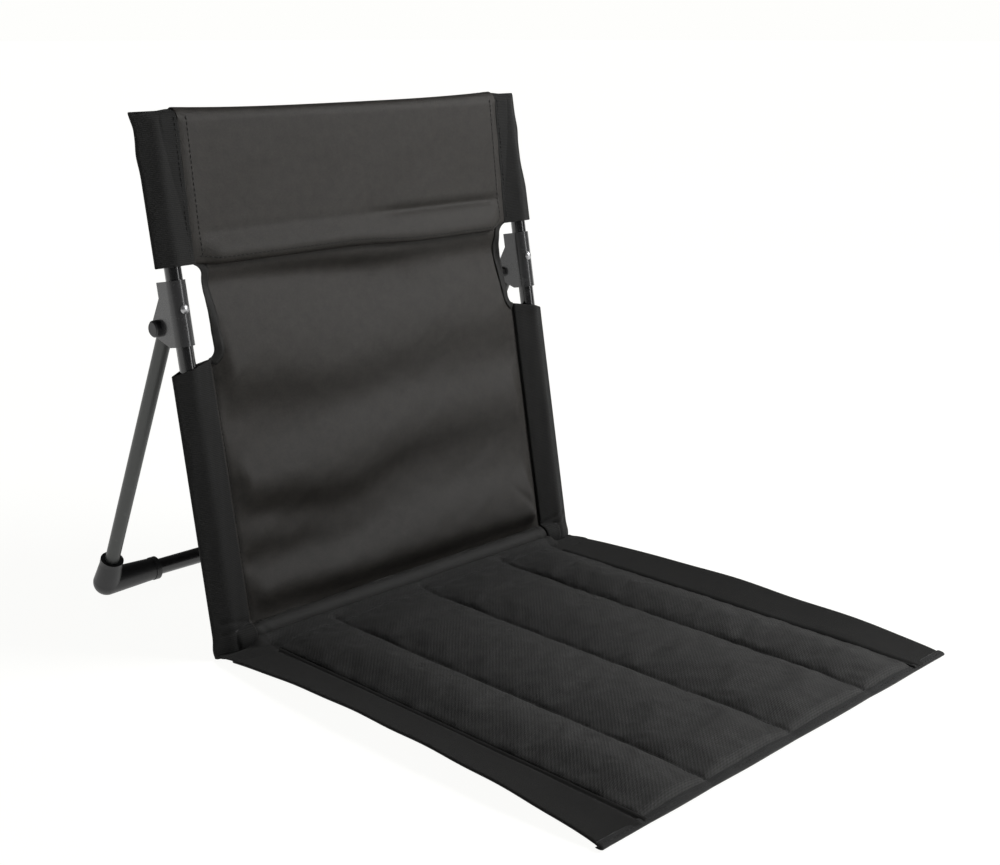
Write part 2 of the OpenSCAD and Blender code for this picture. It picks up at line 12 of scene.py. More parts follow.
import bpy
import numpy as np
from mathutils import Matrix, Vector


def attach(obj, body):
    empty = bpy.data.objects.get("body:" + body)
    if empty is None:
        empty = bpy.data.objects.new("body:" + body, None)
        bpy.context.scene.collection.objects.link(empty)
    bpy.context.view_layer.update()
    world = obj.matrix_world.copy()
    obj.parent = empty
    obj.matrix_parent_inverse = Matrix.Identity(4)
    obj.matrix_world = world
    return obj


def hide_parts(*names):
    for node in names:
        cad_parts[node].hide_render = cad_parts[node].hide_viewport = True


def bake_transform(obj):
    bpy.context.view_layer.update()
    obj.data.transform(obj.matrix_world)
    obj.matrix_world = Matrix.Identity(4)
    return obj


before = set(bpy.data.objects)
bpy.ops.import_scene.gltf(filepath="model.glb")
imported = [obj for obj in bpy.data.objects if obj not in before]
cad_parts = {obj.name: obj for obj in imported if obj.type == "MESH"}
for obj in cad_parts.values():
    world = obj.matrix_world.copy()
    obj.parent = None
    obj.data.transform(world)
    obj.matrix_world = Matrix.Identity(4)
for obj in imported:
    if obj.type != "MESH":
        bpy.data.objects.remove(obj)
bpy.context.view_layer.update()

# %% [markdown]
# ## Camera, room and light
#
# The camera stands in front and to the left, a little above the chair. Two sides of the seat
# and the four corners of the back were enough to work out its place and lens. A bright room all
# round would be the simplest light, but black cloth then shows no folds. So the room is dim, a
# small panel in front on the right draws the folds of the back, a long low strip in front lights
# the seat, and two weak panels, on the left and behind, keep the edges clear. Only the camera
# sees the room as white.

# %% Camera
camera_data = bpy.data.cameras.new("camera")
camera_data.sensor_fit = "HORIZONTAL"
camera_data.sensor_width = 36.0
camera_data.lens = 54.64
camera = bpy.data.objects.new("camera", camera_data)
EYE = (-0.81507, -0.81792, 0.48060)
TARGET = (0.1100, 0.1015, 0.1217)


def aim(obj, place, at):
    """Link obj to the scene at place and turn its -Z axis towards at, with Y upwards."""
    bpy.context.scene.collection.objects.link(obj)
    obj.location = place
    obj.rotation_euler = (Vector(at) - Vector(place)).to_track_quat("-Z", "Y").to_euler()


aim(camera, EYE, TARGET)
bpy.context.scene.camera = camera
print("camera distance", round((Vector(TARGET) - Vector(EYE)).length, 3), "m")

# %% Lights
# Each lamp's place, width, height and watts. All of them face the middle of the chair
LAMPS = {
    "front_panel": ((1.05, -0.80, 1.30), 0.8, 0.5, 33.0),
    "low_strip": ((1.35, -2.30, 0.75), 0.45, 1.5, 10.0),
    "left_panel": ((-2.60, -0.40, 1.50), 1.4, 1.6, 3.0),
    "rear_panel": ((0.20, 2.80, 1.90), 2.0, 1.2, 5.0),
}

for lamp_name, (place, width, height, watts) in LAMPS.items():
    lamp_data = bpy.data.lights.new(lamp_name, "AREA")
    lamp_data.shape = "RECTANGLE"
    lamp_data.size = width
    lamp_data.size_y = height
    lamp_data.energy = watts
    aim(bpy.data.objects.new(lamp_name, lamp_data), place, (0.0, 0.0, 0.15))
print(len(LAMPS), "lamps")

# %% Room: white where the camera sees it, dim as a light
ROOM_LIGHT = 0.06
bpy.context.scene.view_settings.view_transform = "Standard"
world = bpy.data.worlds.new("room")
bpy.context.scene.world = world
world.use_nodes = True
room = world.node_tree
room.nodes.clear()
seen = room.nodes.new("ShaderNodeBackground")
seen.inputs["Color"].default_value = (0.991, 0.991, 0.974, 1.0)
lit = room.nodes.new("ShaderNodeBackground")
lit.inputs["Color"].default_value = (1.0, 1.0, 1.0, 1.0)
lit.inputs["Strength"].default_value = ROOM_LIGHT
path_kind = room.nodes.new("ShaderNodeLightPath")
either = room.nodes.new("ShaderNodeMixShader")
room_out = room.nodes.new("ShaderNodeOutputWorld")
room.links.new(path_kind.outputs["Is Camera Ray"], either.inputs["Fac"])
room.links.new(lit.outputs[0], either.inputs[1])
room.links.new(seen.outputs[0], either.inputs[2])
room.links.new(either.outputs[0], room_out.inputs["Surface"])
print("room light", ROOM_LIGHT)

# %% [markdown]
# ## Helpers for shapes
#
# Every cloth piece is a sheet with a thickness. A plane with a Solidify modifier could give
# that, but its edges would be square and its folds hard to place. So the middle surface is
# worked out as one array of points on a grid, and `shell` pushes that array out to both sides.
# Near the sheet's edges the push follows a quarter circle, so hems and cut edges are round and
# the shell is closed.

# %% Sizes that part.scad names, in metres
SHIFT = 0.101511
RECLINE = math.radians(10)
HALF_W = 0.201
TUBE_X = 0.186
BAR_UP = 0.01066
ROLL_R = 0.0105
TOP_UP = 0.410
SEAM_UP = 0.303
SLEEVE_TOP = 0.2295
CUT_LOW = 0.2215
SEAM_HALF = 0.166
FREE_HALF = 0.160
PAD_HALF = 0.160
PAD_REAR = -0.0235
PAD_FRONT = -0.393
FOLD_UP = 0.012
CHANNEL_SEAMS = np.array([-0.160, -0.095, 0.0, 0.095, 0.160])
SIDES = ((-1, "left"), (1, "right"))


def on_back(x, d, u):
    """Point of the reclined back: x sideways, d behind its middle plane, u up along it."""
    x, d, u = np.broadcast_arrays(x, d, u)
    return np.stack(
        [
            x,
            SHIFT + d * math.cos(RECLINE) + u * math.sin(RECLINE),
            u * math.cos(RECLINE) - d * math.sin(RECLINE),
        ],
        axis=-1,
    )


def on_ground(x, y, z):
    """Point given from the crease: y is negative towards the front, z up."""
    x, y, z = np.broadcast_arrays(x, y, z)
    return np.stack([x, y + SHIFT, z], axis=-1)


def pairs(a, b):
    """Array whose last axis holds a and b, each spread to the shape of both."""
    return np.stack(np.broadcast_arrays(a, b), axis=-1)


def ease(t):
    """Smooth step from 0 to 1: 3 t^2 - 2 t^3, with t held between 0 and 1."""
    t = np.clip(t, 0.0, 1.0)
    return t * t * (3.0 - 2.0 * t)


def bump(t):
    """Bell of height 1 and width about 1 at t = 0: exp(-t^2)."""
    return np.exp(-t * t)


# %% Grid steps and meshes
def steps(start, stop, count, rim=0.0006):
    """Even places from start to stop, closer together in the rim at both ends.

    The second result is the share of the thickness at each place: the sine of a quarter turn
    across the rim, so it is 0 at the two ends and 1 between the rims.
    """
    turn = np.radians([0.0, 30.0, 60.0])
    near = math.copysign(rim, stop - start) * (1.0 - np.cos(turn))
    rim = math.copysign(rim, stop - start)
    places = [start + near, np.linspace(start + rim, stop - rim, count), (stop - near)[::-1]]
    shares = [np.sin(turn), np.ones(count), np.sin(turn)[::-1]]
    return np.concatenate(places), np.concatenate(shares)


def folded_share(count):
    """Share of the thickness across a folded strip: 1, but 0.8 and 0 at its two cut edges."""
    share = np.ones(count)
    share[[0, 1, -2, -1]] = [0.0, 0.8, 0.8, 0.0]
    return share


def cells(index):
    """Corners of each cell of a grid of point numbers, as an (n, 4) array."""
    corners = [index[:-1, :-1], index[:-1, 1:], index[1:, 1:], index[1:, :-1]]
    return np.stack(corners, axis=-1).reshape(-1, 4)


def closed(name, top, bottom, flat, material):
    """Closed mesh between two grids of points that share their outer border.

    flat gives each grid point's place on the uncut cloth in metres, which becomes the UV map
    that the weave follows. The top grid faces the side that columns crossed with rows give.
    """
    rows, cols = top.shape[:2]
    upper = np.arange(rows * cols).reshape(rows, cols)
    lower = upper.copy()
    lower[1:-1, 1:-1] = rows * cols + np.arange((rows - 2) * (cols - 2)).reshape(rows - 2, -1)
    quads = np.concatenate([cells(upper), cells(lower)[:, ::-1]])
    points = np.concatenate([top.reshape(-1, 3), bottom[1:-1, 1:-1].reshape(-1, 3)])
    places = np.concatenate([flat.reshape(-1, 2), flat[1:-1, 1:-1].reshape(-1, 2)])
    return add_mesh(name, points, quads, places, material)


def add_mesh(name, points, quads, places, material):
    """Mesh object from arrays of points, four-sided faces and each point's place on the cloth."""
    mesh = bpy.data.meshes.new(name)
    mesh.from_pydata(points, [], quads)
    layer = mesh.uv_layers.new(name="cloth")
    corner_points = np.empty(len(mesh.loops), dtype=np.int32)
    mesh.loops.foreach_get("vertex_index", corner_points)
    layer.data.foreach_set("uv", places[corner_points].astype(np.float32).ravel())
    mesh.polygons.foreach_set("use_smooth", np.ones(len(mesh.polygons), dtype=bool))
    mesh.update()
    obj = bpy.data.objects.new(name, mesh)
    bpy.context.scene.collection.objects.link(obj)
    obj.data.materials.append(material)
    print(name, len(mesh.polygons), "faces")
    return obj


def outward(grid):
    """Unit normals of a grid of points: its column direction crossed with its row direction."""
    normal = np.cross(np.gradient(grid, axis=1), np.gradient(grid, axis=0))
    return normal / np.maximum(np.linalg.norm(normal, axis=-1, keepdims=True), 1e-12)


def shell(name, middle, share, flat, wall, material):
    """Sheet of thickness wall: the middle surface moved half the wall along its normal to each
    side, times share, which is 1 inside and falls to 0 along the border."""
    push = outward(middle) * (share * wall / 2.0)[..., None]
    return closed(name, middle + push, middle - push, flat, material)


def even_rows(path, count):
    """Resample paths to count points at even distances along each. path is (..., n, k)."""
    lengths = np.linalg.norm(np.diff(path, axis=-2), axis=-1)
    travel = np.concatenate([np.zeros(lengths.shape[:-1] + (1,)), lengths.cumsum(-1)], axis=-1)
    wanted = travel[..., -1:] * np.linspace(0.0, 1.0, count)
    before = (travel[..., None, :] <= wanted[..., :, None]).sum(-1) - 1
    before = np.clip(before, 0, path.shape[-2] - 2)
    low = np.take_along_axis(travel, before, -1)
    high = np.take_along_axis(travel, before + 1, -1)
    part = ((wanted - low) / np.maximum(high - low, 1e-12))[..., None]
    first = np.take_along_axis(path, before[..., None], -2)
    second = np.take_along_axis(path, before[..., None] + 1, -2)
    return first + (second - first) * part


# %% Gentle unevenness of cloth
def ripple(a, b, seed, waves, shortest, longest):
    """Sum of plane sine waves with seeded directions, lengths and phases, about 1 high."""
    rng = np.random.default_rng(seed)
    total = np.zeros(np.broadcast(a, b).shape)
    for length, turn, phase in zip(
        rng.uniform(shortest, longest, waves),
        rng.uniform(0.0, math.pi, waves),
        rng.uniform(0.0, 2.0 * math.pi, waves),
    ):
        total += np.sin((a * math.cos(turn) + b * math.sin(turn)) * 2.0 * math.pi / length + phase)
    return total / math.sqrt(waves)


# %% [markdown]
# ## Finishes
#
# The real chair is nearly all black, so the finishes differ in weave, gloss and grain rather
# than in colour. A photograph of cloth could be wrapped round each piece, but nodes stay sharp
# at any distance and follow each sheet's own threads. Effects that several finishes share are
# node groups: the woven threads, the uneven tone of dyed cloth, the ribs of a twill, and the
# fine grain of paint, steel and moulded plastic. Some cloth also carries painted shade: the
# back and the seat grow darker towards the crease, and the roll's cloth is the back's cloth
# made darker.


# %% Node helpers
def new_group(name, sizes, outputs):
    """Empty shader node group: a vector input called Place, a float input for each named size,
    and float outputs."""
    group = bpy.data.node_groups.new(name, "ShaderNodeTree")
    group.interface.new_socket("Place", in_out="INPUT", socket_type="NodeSocketVector")
    for size, usual in sizes.items():
        socket = group.interface.new_socket(size, in_out="INPUT", socket_type="NodeSocketFloat")
        socket.default_value = usual
    for output in outputs:
        group.interface.new_socket(output, in_out="OUTPUT", socket_type="NodeSocketFloat")
    return group, group.nodes.new("NodeGroupInput"), group.nodes.new("NodeGroupOutput")


def feed(tree, socket, value):
    """Give a socket its value, which is a number or another node's output."""
    if isinstance(value, (int, float)):
        socket.default_value = value
    else:
        tree.links.new(value, socket)


def calc(tree, operation, *values, clamp=False):
    """Math node with up to three values."""
    node = tree.nodes.new("ShaderNodeMath")
    node.operation = operation
    node.use_clamp = clamp
    for socket, value in zip(node.inputs, values):
        feed(tree, socket, value)
    return node.outputs[0]


def place_node(tree, kind, **values):
    """Texture node of a kind, or a node of one of our groups, with its inputs set by name. An
    underscore in a name stands for a space."""
    if isinstance(kind, str):
        node = tree.nodes.new(kind)
    else:
        node = tree.nodes.new("ShaderNodeGroup")
        node.node_tree = kind
    for key, value in values.items():
        feed(tree, node.inputs[key.replace("_", " ")], value)
    return node


def noise(tree, place, scale, detail, roughness=0.5):
    """Noise from 0 to 1 at place."""
    values = {"Vector": place, "Scale": scale, "Detail": detail, "Roughness": roughness}
    return place_node(tree, "ShaderNodeTexNoise", **values).outputs["Fac"]


def swing(tree, value, size):
    """(value - 0.5) * size: a noise of 0 to 1 made to swing round zero."""
    return calc(tree, "MULTIPLY", calc(tree, "SUBTRACT", value, 0.5), size)


# %% Woven threads
weave, weave_in, weave_out = new_group(
    "woven_threads", {"Warp Pitch": 0.0006, "Weft Pitch": 0.0006, "Unevenness": 0.3}, ("Height", "Gap")
)
# Warp threads run along the second axis and weft threads along the first. Wherever two of them
# cross there is one crown: |sin(pi x / warp pitch)| * |sin(pi y / weft pitch)|
axes = weave.nodes.new("ShaderNodeSeparateXYZ")
weave.links.new(weave_in.outputs["Place"], axes.inputs[0])
crowns = []
for axis, pitch in (("X", "Warp Pitch"), ("Y", "Weft Pitch")):
    count = calc(weave, "DIVIDE", axes.outputs[axis], weave_in.outputs[pitch])
    crowns.append(calc(weave, "ABSOLUTE", calc(weave, "SINE", calc(weave, "MULTIPLY", count, math.pi))))
threads = calc(weave, "MULTIPLY", *crowns)
slub = swing(weave, noise(weave, weave_in.outputs["Place"], 420.0, 2.0), weave_in.outputs["Unevenness"])
weave.links.new(calc(weave, "ADD", threads, slub), weave_out.inputs["Height"])
weave.links.new(calc(weave, "SUBTRACT", 1.0, threads, clamp=True), weave_out.inputs["Gap"])

# %% Uneven tone of dyed cloth
mottle, mottle_in, mottle_out = new_group(
    "cloth_tone", {"Patch Size": 0.05, "Strength": 0.2}, ("Tone",)
)
# Tone is 1 + strength * (broad patches + fine fuzz)
cloth_place = mottle_in.outputs["Place"]
patch_scale = calc(mottle, "DIVIDE", 1.0, mottle_in.outputs["Patch Size"])
patches = swing(mottle, noise(mottle, cloth_place, patch_scale, 4.0, 0.62), 2.0)
fuzz = swing(mottle, noise(mottle, cloth_place, 560.0, 1.0), 1.2)
both = calc(mottle, "MULTIPLY", calc(mottle, "ADD", patches, fuzz), mottle_in.outputs["Strength"])
mottle.links.new(calc(mottle, "ADD", 1.0, both), mottle_out.inputs["Tone"])

# %% Slanting ribs of a twill
twill, twill_in, twill_out = new_group("twill_ribs", {"Rib Pitch": 0.002}, ("Rib",))
# Ribs lie along the diagonal of the cloth: sin(2 pi (x - y) / (sqrt 2 * pitch)), from 0 to 1
twill_axes = twill.nodes.new("ShaderNodeSeparateXYZ")
twill.links.new(twill_in.outputs["Place"], twill_axes.inputs[0])
slant = calc(twill, "SUBTRACT", twill_axes.outputs["X"], twill_axes.outputs["Y"])
cycle = calc(twill, "MULTIPLY", slant, 2.0 * math.pi / math.sqrt(2.0))
cycle = calc(twill, "DIVIDE", cycle, twill_in.outputs["Rib Pitch"])
ridge = calc(twill, "ADD", 0.5, calc(twill, "MULTIPLY", calc(twill, "SINE", cycle), 0.5))
twill.links.new(ridge, twill_out.inputs["Rib"])

# %% Fine grain of paint, steel and plastic
grain, grain_in, grain_out = new_group(
    "fine_grain", {"Grain Size": 0.0008, "Scuff Size": 0.012}, ("Height", "Scuff")
)
# Scuffs are the parts of a rough noise above 0.56, with edges sharpened 7 times
grain_scale = calc(grain, "DIVIDE", 1.0, grain_in.outputs["Grain Size"])
scuff_scale = calc(grain, "DIVIDE", 1.0, grain_in.outputs["Scuff Size"])
speckle = noise(grain, grain_in.outputs["Place"], grain_scale, 3.0)
marks = noise(grain, grain_in.outputs["Place"], scuff_scale, 6.0, 0.7)
scuff = calc(grain, "MULTIPLY", calc(grain, "SUBTRACT", marks, 0.56), 7.0, clamp=True)
grain.links.new(speckle, grain_out.inputs["Height"])
grain.links.new(scuff, grain_out.inputs["Scuff"])


# %% Cloth material
def tinted(tree, colour, factor):
    """Colour times a factor that varies over the surface."""
    node = tree.nodes.new("ShaderNodeMix")
    node.data_type = "RGBA"
    node.blend_type = "MULTIPLY"
    node.inputs["Factor"].default_value = 1.0
    node.inputs["A"].default_value = (*colour, 1.0)
    tree.links.new(factor, node.inputs["B"])
    return node.outputs["Result"]


def emboss(tree, shader, height, strength, distance):
    """Bump in the shader's normal, from a height."""
    node = place_node(tree, "ShaderNodeBump", Strength=strength, Distance=distance, Height=height)
    tree.links.new(node.outputs[0], shader.inputs["Normal"])


def cloth(name, colour, warp, weft, rough=0.72, sheen=0.12, depth=0.35, tone=0.22, patch=0.05,
          shine=0.38, rib_pitch=None, painted_shade=None):
    """Woven cloth: thread relief in the normal, darker and duller gaps between threads, uneven
    dye, and darker furrows between slanting ribs where a rib pitch is given. The last argument,
    which is (from, to, part), is painted shade: it takes that part of the tone away, evenly more
    from one place along the cloth to the other, to stand for the shade that falls near the crease."""
    material = bpy.data.materials.new(name)
    material.use_nodes = True
    tree = material.node_tree
    shader = tree.nodes["Principled BSDF"]
    uv = tree.nodes.new("ShaderNodeUVMap")
    uv.uv_map = "cloth"
    threads_node = place_node(tree, weave, Place=uv.outputs[0], Warp_Pitch=warp, Weft_Pitch=weft)
    tone_node = place_node(tree, mottle, Place=uv.outputs[0], Patch_Size=patch, Strength=tone)
    shade = calc(tree, "SUBTRACT", 1.12, calc(tree, "MULTIPLY", threads_node.outputs["Gap"], 0.42))
    shade = calc(tree, "MULTIPLY", shade, tone_node.outputs["Tone"])
    height = threads_node.outputs["Height"]
    if rib_pitch:
        rib = place_node(tree, twill, Place=uv.outputs[0], Rib_Pitch=rib_pitch).outputs["Rib"]
        shade = calc(tree, "MULTIPLY", shade, calc(tree, "ADD", 0.80, calc(tree, "MULTIPLY", rib, 0.40)))
        height = calc(tree, "ADD", height, calc(tree, "MULTIPLY", rib, 0.5))
    # Painted shade: the tone falls evenly along the cloth's second axis, towards the crease
    if painted_shade:
        first, last, part = painted_shade
        cloth_axes = tree.nodes.new("ShaderNodeSeparateXYZ")
        tree.links.new(uv.outputs[0], cloth_axes.inputs[0])
        past = calc(tree, "SUBTRACT", cloth_axes.outputs["Y"], first)
        shade_share = calc(tree, "MULTIPLY", calc(tree, "DIVIDE", past, last - first, clamp=True), part)
        shade = calc(tree, "MULTIPLY", shade, calc(tree, "SUBTRACT", 1.0, shade_share))
    tree.links.new(tinted(tree, colour, shade), shader.inputs["Base Color"])
    dull = calc(tree, "MULTIPLY", threads_node.outputs["Gap"], 0.16)
    tree.links.new(calc(tree, "ADD", rough - 0.06, dull, clamp=True), shader.inputs["Roughness"])
    emboss(tree, shader, height, depth, 0.0003)
    shader.inputs["Sheen Weight"].default_value = sheen
    shader.inputs["Sheen Roughness"].default_value = 0.45
    shader.inputs["Specular IOR Level"].default_value = shine
    return material


# The back's cloth carries painted shade: its tone falls evenly from 0.28 m up the panel to 0.76 at 0.03
# m, near the crease
back_cloth = cloth("back_oxford", (0.0228, 0.0203, 0.0175), 0.00055, 0.00062, rough=0.52, sheen=0.0,
                   tone=0.50, patch=0.008, shine=0.26, painted_shade=(0.28, 0.03, 0.24))
# The roll's cloth is the back's oxford made darker: painted shade for the roll, which the panel and seat
# keep from the light. The cut-out tape uses the same darker cloth
roll_shade_and_tape_cloth = cloth("oxford_roll_shade_and_tape", (0.0150, 0.0146, 0.0138), 0.00055, 0.00062, rough=0.6, sheen=0.0,
                   patch=0.012, shine=0.22)
band_cloth = cloth("band_cloth", (0.012, 0.012, 0.0116), 0.0009, 0.0014, rough=0.8, depth=0.6,
                   sheen=0.03, shine=0.2)
# The seat's cloth carries painted shade: its tone falls evenly from 0.24 m in front of the crease to half
# at 0.03 m, and the web, which lies nearer, stays at half
seat_cloth = cloth("seat_ribbed", (0.0355, 0.0352, 0.0343), 0.0008, 0.0016, rough=0.74, depth=0.5,
                   sheen=0.03, tone=0.48, patch=0.010, shine=0.25, rib_pitch=0.0024,
                   painted_shade=(-0.24, -0.03, 0.50))
strip_cloth = cloth("strip_cloth", (0.0140, 0.0138, 0.0132), 0.0007, 0.0009, rough=0.78, sheen=0.03,
                    patch=0.014, shine=0.2)
hem_cloth = cloth("hem_tape", (0.008, 0.008, 0.008), 0.0008, 0.0012, rough=0.8, depth=0.5)
thread = cloth("sewing_thread", (0.0150, 0.0148, 0.0142), 0.0004, 0.0012, rough=0.55, sheen=0.0)


# %% Hard materials
def hard(name, colour, rough, metallic=0.0, grain_size=0.0008, relief=0.05, coat=0.0):
    """Paint, steel or plastic: grain in the normal, and scuffs that dull it by up to 0.12 and
    lighten its tone to 1.35 times."""
    material = bpy.data.materials.new(name)
    material.use_nodes = True
    tree = material.node_tree
    shader = tree.nodes["Principled BSDF"]
    coords = tree.nodes.new("ShaderNodeTexCoord")
    grain_node = place_node(tree, grain, Place=coords.outputs["Object"], Grain_Size=grain_size)
    scuff_out = grain_node.outputs["Scuff"]
    colours = tree.nodes.new("ShaderNodeMix")
    colours.data_type = "RGBA"
    colours.inputs["A"].default_value = (*colour, 1.0)
    colours.inputs["B"].default_value = (*[1.35 * part for part in colour], 1.0)
    tree.links.new(scuff_out, colours.inputs["Factor"])
    tree.links.new(colours.outputs["Result"], shader.inputs["Base Color"])
    dulled = calc(tree, "ADD", rough, calc(tree, "MULTIPLY", scuff_out, 0.12), clamp=True)
    tree.links.new(dulled, shader.inputs["Roughness"])
    emboss(tree, shader, grain_node.outputs["Height"], relief, 0.0002)
    shader.inputs["Metallic"].default_value = metallic
    shader.inputs["Coat Weight"].default_value = coat
    shader.inputs["Coat Roughness"].default_value = 0.12
    return material


frame_paint = hard("gloss_black_paint", (0.006, 0.006, 0.0065), 0.20, relief=0.04, coat=0.6)
bracket_steel = hard("bracket_paint", (0.045, 0.045, 0.046), 0.27, metallic=0.45, relief=0.06, coat=0.5)
bare_steel = hard("plated_steel", (0.42, 0.42, 0.43), 0.40, metallic=1.0, relief=0.06)
leg_paint = hard("leg_paint", (0.058, 0.060, 0.058), 0.42, metallic=0.35, relief=0.06)
black_plastic = hard("moulded_plastic", (0.012, 0.012, 0.013), 0.42, grain_size=0.0005, relief=0.14)
corner_plastic = hard("corner_plastic", (0.015, 0.015, 0.015), 0.5, grain_size=0.0006, relief=0.12)
nylon = hard("washer_nylon", (0.55, 0.54, 0.50), 0.45, grain_size=0.0004, relief=0.05)
bar_paint = hard("foot_bar_paint", (0.008, 0.008, 0.009), 0.30, relief=0.05, coat=0.3)

# %% Finish of the CAD pieces
FINISH = [
    (frame_paint, ("upright", "top_crossbar", "bottom_crossbar")),
    (corner_plastic, ("top_corner", "bottom_corner")),
    (bracket_steel, ("hinge_bracket",)),
    (bare_steel, ("bracket_rivets", "pivot_bolt", "pivot_nuts")),
    (black_plastic, ("pivot_caps", "leg_plugs", "foot_elbow")),
    (nylon, ("pivot_washers",)),
    (leg_paint, ("leg_tube",)),
    (bar_paint, ("foot_crossbar",)),
]
painted = 0
for finish, starts in FINISH:
    for node_name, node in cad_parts.items():
        if node_name.startswith(starts):
            node.data.materials.clear()
            node.data.materials.append(finish)
            painted += 1
print(painted, "CAD pieces painted")

# %% [markdown]
# ## The back panel
#
# The panel is one sheet sewn to a band at each side. It hangs a little slack, so it lies in
# broad soft folds. A cloth simulation would fold it somewhere, but not where the real one does.
# So the folds are read as bands of light and shade instead: cloth that faces up is light, and
# cloth that faces down is dark. Each band gives a slope, and the slopes add up to the depth.

# %% Folds of the panel
# Each row is one band across the panel: its heights at four places across, the cloth's slope
# there (facing up is positive) and its half width
ACROSS = (-0.134, -0.063, 0.018, 0.089)
PANEL_BANDS = [
    ((0.2930, 0.2925, 0.2870, 0.2890), (-0.85, -1.15, -1.25, -0.70), 0.0068),
    ((0.2840, 0.2640, 0.2500, 0.2450), (0.20, 0.20, 0.18, 0.14), 0.0200),
    ((0.2000, 0.1910, 0.1970, 0.2080), (-0.54, -0.50, -0.42, -0.32), 0.0170),
    ((0.1360, 0.1590, 0.1640, 0.1660), (0.26, 0.22, 0.20, 0.18), 0.0150),
    ((0.1140, 0.0985, 0.1230, 0.1260), (-0.66, -0.66, -0.64, -0.46), 0.0155),
    ((0.0980, 0.0900, 0.0800, 0.0800), (0.22, 0.00, 0.00, 0.00), 0.0080),
    ((0.0760, 0.0720, 0.0700, 0.0700), (-0.44, -0.06, 0.00, 0.00), 0.0090),
    ((0.0520, 0.0540, 0.0720, 0.0740), (0.24, 0.30, 0.32, 0.32), 0.0130),
    ((0.0330, 0.0290, 0.0290, 0.0295), (-0.55, -0.84, -0.92, -0.90), 0.0095),
]
PANEL_LOW = 0.0180


def through(x, values):
    """Smooth line through a band's four values: straight between them, then averaged over 60 mm
    of width so that it has no corners."""
    shifts = np.linspace(-0.030, 0.030, 7)
    return sum(np.interp(x + shift, ACROSS, values) for shift in shifts) / len(shifts)


def panel_sway(x, u):
    """Depth from the bands alone: each slope * sech^2((u - band) / width), added up over u,
    gives slope * width * tanh((u - band) / width)."""
    total = 0.0
    for heights, slopes, width in PANEL_BANDS:
        total = total + through(x, slopes) * width * np.tanh((u - through(x, heights)) / width)
    return total


def panel_depth(x, u):
    """How far the panel lies behind its plane: the bands' depth less the straight line between
    its lower and upper ends, plus small ripples. All of it dies out at the seams, and what stands
    forward dies out sooner, so that the side bands keep straight edges. A gutter beside each
    side seam holds the seam's shadow."""
    share = (u - PANEL_LOW) / (SEAM_UP - PANEL_LOW)
    low, high = panel_sway(x, PANEL_LOW), panel_sway(x, SEAM_UP)
    total = panel_sway(x, u) - low - share * (high - low)
    total = total + 0.00018 * ripple(x, u, 11, 9, 0.018, 0.060)
    total = total + 0.00040 * ripple(x, u * 1.6, 12, 6, 0.060, 0.140)
    # A crease slants into the lower right corner, with a small swell below it
    crease = bump((x - 0.150 + 0.9 * (u - 0.045)) / 0.005)
    total = total + 0.0014 * crease * bump((u - 0.045) / 0.020)
    total = total - 0.0026 * bump((x - 0.152) / 0.010) * bump((u - 0.035) / 0.006)
    from_seam = SEAM_HALF - np.abs(x)
    forward = np.minimum(total, 0.0) * ease(from_seam / 0.018)
    back = np.maximum(total, 0.0) * ease(from_seam / 0.010)
    gutter = 0.0016 * bump((from_seam - 0.0012) / 0.0014) * ease((SLEEVE_TOP - u) / 0.006)
    return (forward + back + gutter) * ease(share / 0.012) * ease((1.0 - share) / 0.010)


def panel_edge(u):
    """Half width of the panel: the stitching along the sleeves, and above them a free edge that
    turns in and out by quarter ellipses."""
    cut, depth = 0.009, SEAM_HALF - FREE_HALF
    up_in = np.clip((u - SLEEVE_TOP) / cut, 0.0, 1.0)
    inwards = SEAM_HALF - depth * np.sqrt(1.0 - (1.0 - up_in) ** 2)
    up_out = np.clip((u - SEAM_UP + cut) / cut, 0.0, 1.0)
    return inwards + cut * (1.0 - np.sqrt(1.0 - up_out**2))


# %% Panel mesh
BACK_WALL = 0.0011
rows, row_share = steps(PANEL_LOW, SEAM_UP + 0.0030, 190)
cols, col_share = steps(-1.0, 1.0, 190, rim=0.004)
grid_u, grid_k = np.meshgrid(rows, cols, indexing="ij")
grid_x = grid_k * panel_edge(grid_u)
panel_middle = on_back(grid_x, panel_depth(grid_x, grid_u), grid_u)
panel = shell("back_panel_cloth", panel_middle, np.outer(row_share, col_share), pairs(grid_x, grid_u),
              BACK_WALL, back_cloth)
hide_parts("back_panel")
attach(panel, "back")

# %% [markdown]
# ## The head pocket
#
# Above the panel the cloth is doubled: it runs up the front, over the top bar and down the
# back, and one seam across closes it. Just above that seam the cloth bulges over the stitches
# and catches the light, and below it hangs a small shadow. Two flat sheets would leave the top
# edge open, so the pocket is a single path, front, over the bar and back, carried across.


# %% Pocket
BAR_WRAP = 0.0074
POCKET_OUT = 0.0008
OVER_UP = 0.4080
TENT_UP = 0.306


def head_tent(u):
    """Half thickness of the doubled cloth above the seam: a straight tent from the seam up to
    the top bar, then the circle sqrt(r^2 - h^2) over the bar."""
    rise = np.clip((u - TENT_UP) / (TOP_UP - TENT_UP), 0.0, 1.0)
    above = np.maximum(u - TOP_UP, 0.0)
    circle = np.sqrt(np.maximum(BAR_WRAP**2 - above**2, 0.0007**2))
    return np.minimum(0.0012 + (BAR_WRAP - 0.0012) * rise, circle)


def from_bands(x):
    """0 at the two side bands and 1 from 22 mm inside them."""
    return ease((SEAM_HALF - np.abs(x)) / 0.022)


